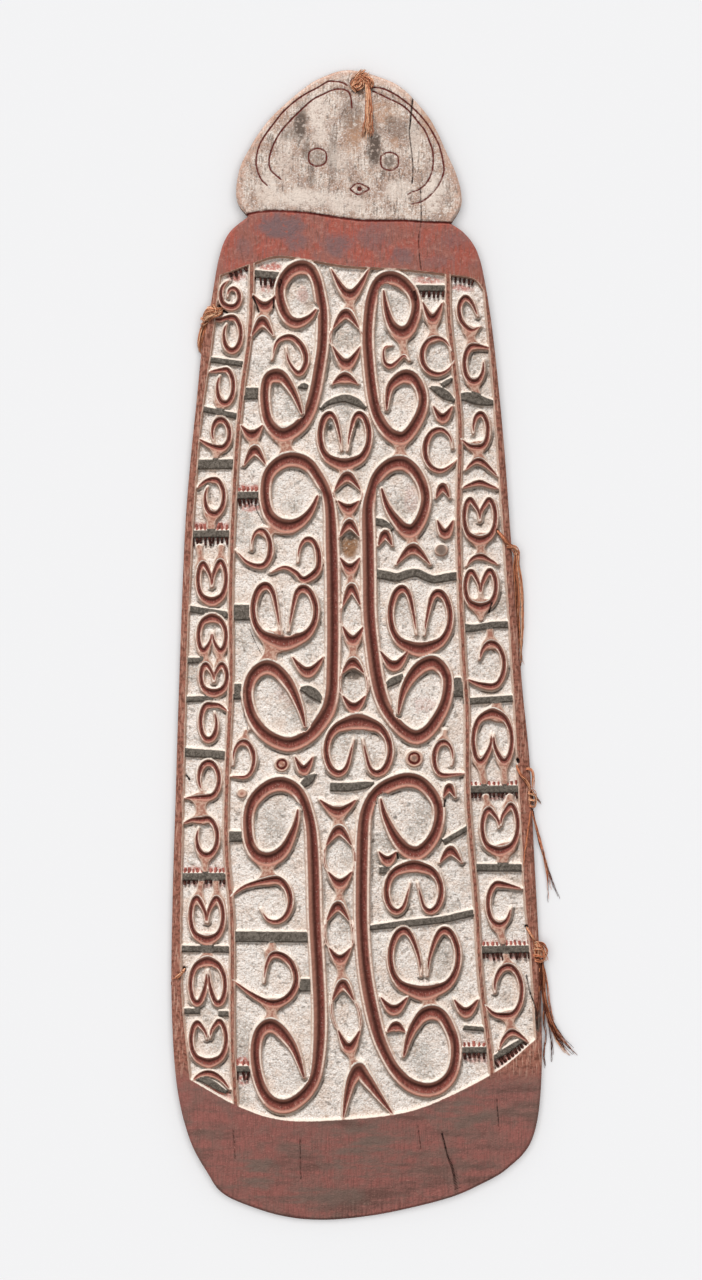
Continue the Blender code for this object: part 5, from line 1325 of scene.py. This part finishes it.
# Fibre ties: each lock is a guide of column, row, height in millimetres and half width in squares.
# A height under 0 is measured up from the board's surface.
ties = {
    "head_tuft": {"strands": 60, "locks": [
        [(357, 89, -1, 2.0), (353.5, 84, -4, 3.2), (357, 80, -6, 3.8), (363, 77.5, -6, 3.6), (368, 73, -5, 3.0)],
        [(354, 86, -3, 2.4), (358, 78, -6, 3.4), (362, 73, -7, 3.0), (365, 69.5, -5, 3.6)],
        [(366, 78, -6, 3.4), (371, 82, -7, 3.2), (369, 87, -6, 2.6)],
        [(354, 83, -3, 1.6), (358, 88, -6, 1.8), (362, 84, -7, 1.6), (360, 78, -7, 1.4), (355, 79, -5, 1.2)],
        [(367, 84, -6, 1.6), (368.5, 93, -6, 2.6), (369.5, 110, -6, 2.8), (370, 124, -5, 3.0), (370.5, 138, -5, 4.4)],
        [(367, 86, -6, 1.4), (368.5, 100, -7, 1.8), (369.5, 118, -6, 2.0), (370, 137, -4, 2.6)],
        [(367, 92, -4, 1.0), (367, 108, -3, 1.4), (366, 122, -3, 1.6), (362, 138, -3, 2.2)],
    ]},
    "upper_left_tie": {"strands": 60, "locks": [
        [(221, 309, -1, 1.8), (216, 312, -5, 3.8), (210, 314, -5, 4.4), (206, 318, 24, 4.0), (204, 323, 20, 3.0)],
        [(221, 313, -1, 1.4), (214, 310, -5, 3.0), (208, 312, -4, 3.8), (204, 320, 20, 3.2)],
        [(208, 321, 21, 1.2), (204, 323.5, 25, 1.6), (200.5, 324, 20, 1.2)],
        [(213, 305, -4, 1.4), (216.5, 311, -8, 1.8), (214, 318, -4, 1.2)],
        [(208, 307, -3, 1.4), (211.5, 313, -8, 1.8), (209, 320, -2, 1.2)],
        [(201, 317.5, 19, 1.0), (205, 319, 27, 1.4), (209, 321.5, 21, 1.0)],
        [(204, 324, 20, 2.0), (202, 331, 18, 3.6), (200.5, 339, 15, 3.8), (200, 346, 12, 2.8), (202, 355, 8, 0.8)],
        [(205, 326, 18, 1.2), (205, 334, 14, 1.4), (204, 344, 9, 1.0)],
    ]},
    "upper_right_bunch": {"strands": 48, "locks": [
        [(498, 531, -1, 1.0), (503, 537, -3, 1.4), (510, 545, -4, 2.0), (516, 549, 24, 2.6), (519, 557, 19, 2.2)],
        [(508, 546, -3, 1.4), (514, 547, -3, 2.2), (518, 553, 21, 2.4), (516, 562, 17, 2.0)],
        [(518, 553, 20, 2.4), (517, 566, 17, 3.2), (519, 582, 15, 4.2), (520, 600, 14, 4.6), (520.5, 622, 13, 4.4),
         (520, 645, 12, 3.8), (519, 672, 10, 2.6)],
        [(517, 560, 17, 1.4), (517, 578, 14, 1.8), (517.5, 605, 12, 2.0), (520, 640, 10, 1.8), (522, 662, 6, 2.6)],
    ]},
    "middle_right_tassel": {"strands": 34, "worn": 0.35, "locks": [
        [(517, 766, -1, 0.9), (521, 774, -3, 1.4), (527, 781, -3, 1.6), (531, 788, 22, 2.0), (532, 795, 18, 2.0)],
        [(527, 769, -2, 1.0), (532, 770, 22, 1.4), (534, 777, 20, 1.6), (533, 790, 19, 1.8)],
        [(531, 791, 19, 2.0), (533, 797, 18, 3.8), (533, 805, 16, 3.6), (532, 812, 14, 1.6)],
        [(529, 794, 20, 1.0), (533, 795, 24, 1.2), (537, 795.5, 19, 1.0)],
        [(529.5, 800, 19, 1.0), (533, 801, 23, 1.2), (537.5, 801.5, 17, 1.0)],
        [(530, 806, 18, 1.0), (533, 807, 21, 1.2), (537, 807.5, 16, 1.0)],
    ]},
    "lower_right_tassel": {"strands": 46, "worn": 0.5, "locks": [
        [(527, 928, -1, 0.8), (531, 935, -3, 1.0), (536, 943, -4, 1.6)],
        [(536, 944, -5, 2.0), (541, 948, 24, 4.6), (543, 956, 22, 5.4), (541, 964, 18, 2.6)],
        [(540, 945, 22, 2.0), (537, 954, 21, 3.4), (541, 964, 18, 2.4)],
        [(534, 950, 21, 1.0), (540, 949, 28, 1.3), (546, 952, 20, 1.0)],
        [(534.5, 956, 21, 1.0), (541, 957, 28, 1.3), (547, 957, 19, 1.0)],
        [(535.5, 961, 19, 1.0), (541, 962, 25, 1.3), (546, 961, 18, 1.0)],
        [(541, 962, 18, 2.4), (543, 975, 16, 2.8), (544, 990, 14, 2.2), (546, 1005, 13, 2.0), (551, 1022, 11, 2.4),
         (559, 1037, 9, 3.0), (568, 1047, 7, 2.8), (577, 1057, 5, 2.4)],
        [(542, 964, 17, 2.0), (544, 985, 14, 1.4), (545.5, 1003, 12, 1.4), (549, 1018, 10, 1.6), (556, 1034, 8, 1.8),
         (566, 1051, 5, 2.4)],
    ]},
    "lower_left_cord": {"strands": 26, "locks": [
        [(184, 970, -1, 0.8), (181, 974, -2, 1.4), (177, 977, -3, 1.8), (173.5, 980, 18, 1.8), (171.5, 984, 12, 1.4),
         (171, 989, 6, 0.7)],
    ]},
}
# Single loose strands of the same fibre: the same guides, few strands each
strays = {
    "upper_right_bunch": [[(518, 600, 14, 0.8), (521, 640, 9, 0.8), (525, 668, 4, 0.8)]],
    "middle_right_tassel": [
        [(533, 810, 15, 0.9), (537, 828, 12, 0.9), (543, 850, 9, 1.0), (549, 878, 6, 1.2), (550, 905, 3, 1.0)],
        [(533, 811, 14, 0.9), (539, 833, 11, 0.9), (546, 858, 8, 0.9), (553, 893, 4, 0.9)],
        [(534, 812, 13, 0.6), (540, 842, 9, 0.8), (550, 873, 5, 0.8), (562, 903, 2.5, 0.8)],
        [(531, 812, -2, 0.8), (529, 828, -1, 0.8), (526, 850, -1, 0.7), (524, 869, -1, 0.5)],
        [(534, 792, 17, 0.7), (538, 799, 12, 0.6), (543, 806, 7, 0.5)],
    ],
    "lower_right_tassel": [
        [(541, 964, -2, 1.6), (540.5, 985, -1, 1.4), (539, 1005, -1, 1.2), (537, 1022, -1, 0.8)],
        [(545, 1000, 12, 1.0), (545, 1022, 9, 1.0), (547, 1038, 7, 0.9), (545, 1056, 5, 0.8), (547, 1077, 3, 0.8)],
        [(548, 1012, 11, 0.9), (551, 1032, 8, 0.8), (553, 1050, 5, 0.7), (553, 1068, 3, 0.6)],
        [(552, 1027, 9, 0.9), (559, 1044, 6, 0.9), (572, 1059, 3, 0.9)],
        [(545, 970, 15, 0.8), (548, 985, 12, 0.8), (551, 1008, 9, 0.8), (556, 1028, 6, 0.8)],
    ],
    "lower_left_cord": [[(182, 972, -2, 0.8), (179, 976, -2, 0.8), (178, 981, -1, 0.5)]],
}
# The strands: radius at the root, how far they wander and spread, how many there are, how they thin and shade
fibre = {"thread": 0.00092, "frizz": 0.0062, "share": 0.75, "points": 18, "strayStrands": 5, "flat": 0.62,
         "seed": 12, "apart": 3.0, "noise": 55.0, "frizzFrom": 0.35, "frizzAlong": 1.1, "shortest": 0.72,
         "thinning": 0.55, "usualHalf": 3.0, "crowding": 1.2, "crowdMost": 1.6, "fewest": 7, "tail": 40,
         "clear": 0.0015, "rest": 0.6, "offFloor": 0.0002}
fibreLook = {
    "sources": {"shade": "strandShade", "streak": (190, 3)}, "first": (84, 44, 32),
    "coats": [("shade", 0.02, 0.36, (214, 136, 98), 1.0), ("shade", 0.46, 0.86, (246, 198, 160), 1.0),
              ("streak", 0.52, 0.66, (118, 62, 44), 0.55)],
    "bump": [("streak", 1.0)], "finish": (0.72, 0.4, 0.0006),
}


def fibreTree():
    desk = treeDesk("fibreBundle", Points="Int", Thread="Float", Frizz="Float", Flat="Float", Seed="Int",
                    Material="Material")
    given, get = desk.given, desk.get

    def named(name):
        return get("GeometryNodeInputNamedAttribute", {"data_type": "FLOAT"}, Name=name)

    smooth = get("GeometryNodeCurveSplineType", {"spline_type": "CATMULL_ROM"}, Curve=desk.curve)
    evenly = get("GeometryNodeResampleCurve", {"mode": "COUNT"}, Curve=smooth, Count=given["Points"])
    copies = desk.add("GeometryNodeDuplicateElements", {"domain": "SPLINE"}, Geometry=evenly, Amount=named("strands"))
    place = desk.random("FLOAT_VECTOR", 0, (-1, -1, -1), (1, 1, 1), ID=copies.outputs["Duplicate Index"])
    within = desk.vector("MULTIPLY", place, get("ShaderNodeCombineXYZ", X=1.0, Y=1.0, Z=given["Flat"]))
    spread = desk.scaled(within, named("spread"))
    shifted = desk.vector("ADD", get("GeometryNodeInputPosition"), desk.scaled(place, fibre["apart"]))
    noise = desk.add("ShaderNodeTexNoise", Vector=shifted, Scale=fibre["noise"], Detail=2.0)
    wander = desk.vector("SUBTRACT", noise.outputs["Color"], (0.5, 0.5, 0.5))
    along = desk.put("GeometryNodeSplineParameter").outputs["Factor"]
    looser = desk.math("ADD", fibre["frizzFrom"], desk.math("MULTIPLY", along, fibre["frizzAlong"]))
    offset = desk.vector("ADD", spread, desk.scaled(wander, desk.math("MULTIPLY", given["Frizz"], looser)))
    moved = get("GeometryNodeSetPosition", Geometry=copies.outputs["Geometry"], Offset=offset)
    cut = get("GeometryNodeTrimCurve", {"mode": "FACTOR"}, Curve=moved,
              End=desk.random("FLOAT", 3.0, fibre["shortest"], 1.0))
    shade = desk.math("SUBTRACT", desk.random("FLOAT", 5.0, 0.0, 1.0), named("worn"))
    stored = get("GeometryNodeStoreNamedAttribute", {"data_type": "FLOAT", "domain": "CURVE"}, Geometry=cut,
                 Name="strandShade", Value=shade)
    thinner = desk.math("SUBTRACT", 1.0, desk.math("MULTIPLY", along, fibre["thinning"]))
    return desk.end(get("GeometryNodeCurveToMesh", Curve=stored, Fill_Caps=True,
                        Scale=desk.math("MULTIPLY", given["Thread"], thinner),
                        Profile_Curve=get("GeometryNodeCurvePrimitiveCircle", Resolution=3, Radius=1.0)))


def strandsOf(lock, usual):
    # a thicker lock has more strands
    crowd = (float(np.mean([guide[3] for guide in lock])) / fibre["usualHalf"]) ** fibre["crowding"]
    return max(fibre["fewest"], round(fibre["share"] * usual * min(crowd, fibre["crowdMost"])))


def growTies():
    tree, material, square = fibreTree(), plainMaterial("driedFibre", fibreLook), layout["square"]
    for order, (node, tie) in enumerate(ties.items()):
        points, edges, spread, strands, worn = [], [], [], [], []
        locks = [(lock, strandsOf(lock, tie["strands"])) for lock in tie["locks"]]
        locks += [(lock, fibre["strayStrands"]) for lock in strays.get(node, [])]
        for lock, count in locks:
            isTail = lock[-1][1] - lock[0][1] > fibre["tail"]
            edges += [(len(points) + i, len(points) + i + 1) for i in range(len(lock) - 1)]
            for column, row, lift, half in lock:
                z = surfaceAt(column, row) - lift / 1000 if lift < 0 else lift / 1000
                points.append((toX(column), toY(row), max(z, fibre["clear"] + half * fibre["rest"] * square)))
                spread.append(half * square)
                strands.append(count)
                worn.append(tie.get("worn", 0.0) * isTail)
        piece = grown("fibre_" + node, tree, points, edges, {
            "Points": fibre["points"], "Thread": fibre["thread"], "Frizz": fibre["frizz"], "Flat": fibre["flat"],
            "Seed": fibre["seed"] + order, "Material": material}, {"spread": spread, "strands": strands, "worn": worn})
        co = np.empty(len(piece.data.vertices) * 3, np.float32)
        piece.data.vertices.foreach_get("co", co)
        co = np.clip(co.reshape(-1, 3), np.array(cadLow) + (0, 0, fibre["offFloor"]), np.array(cadHigh))
        piece.data.vertices.foreach_set("co", co.astype(np.float32).ravel())
        piece.data.materials.clear()
        dress(piece, material, "plant_fibre", node)


growTies()
print("ties grown")
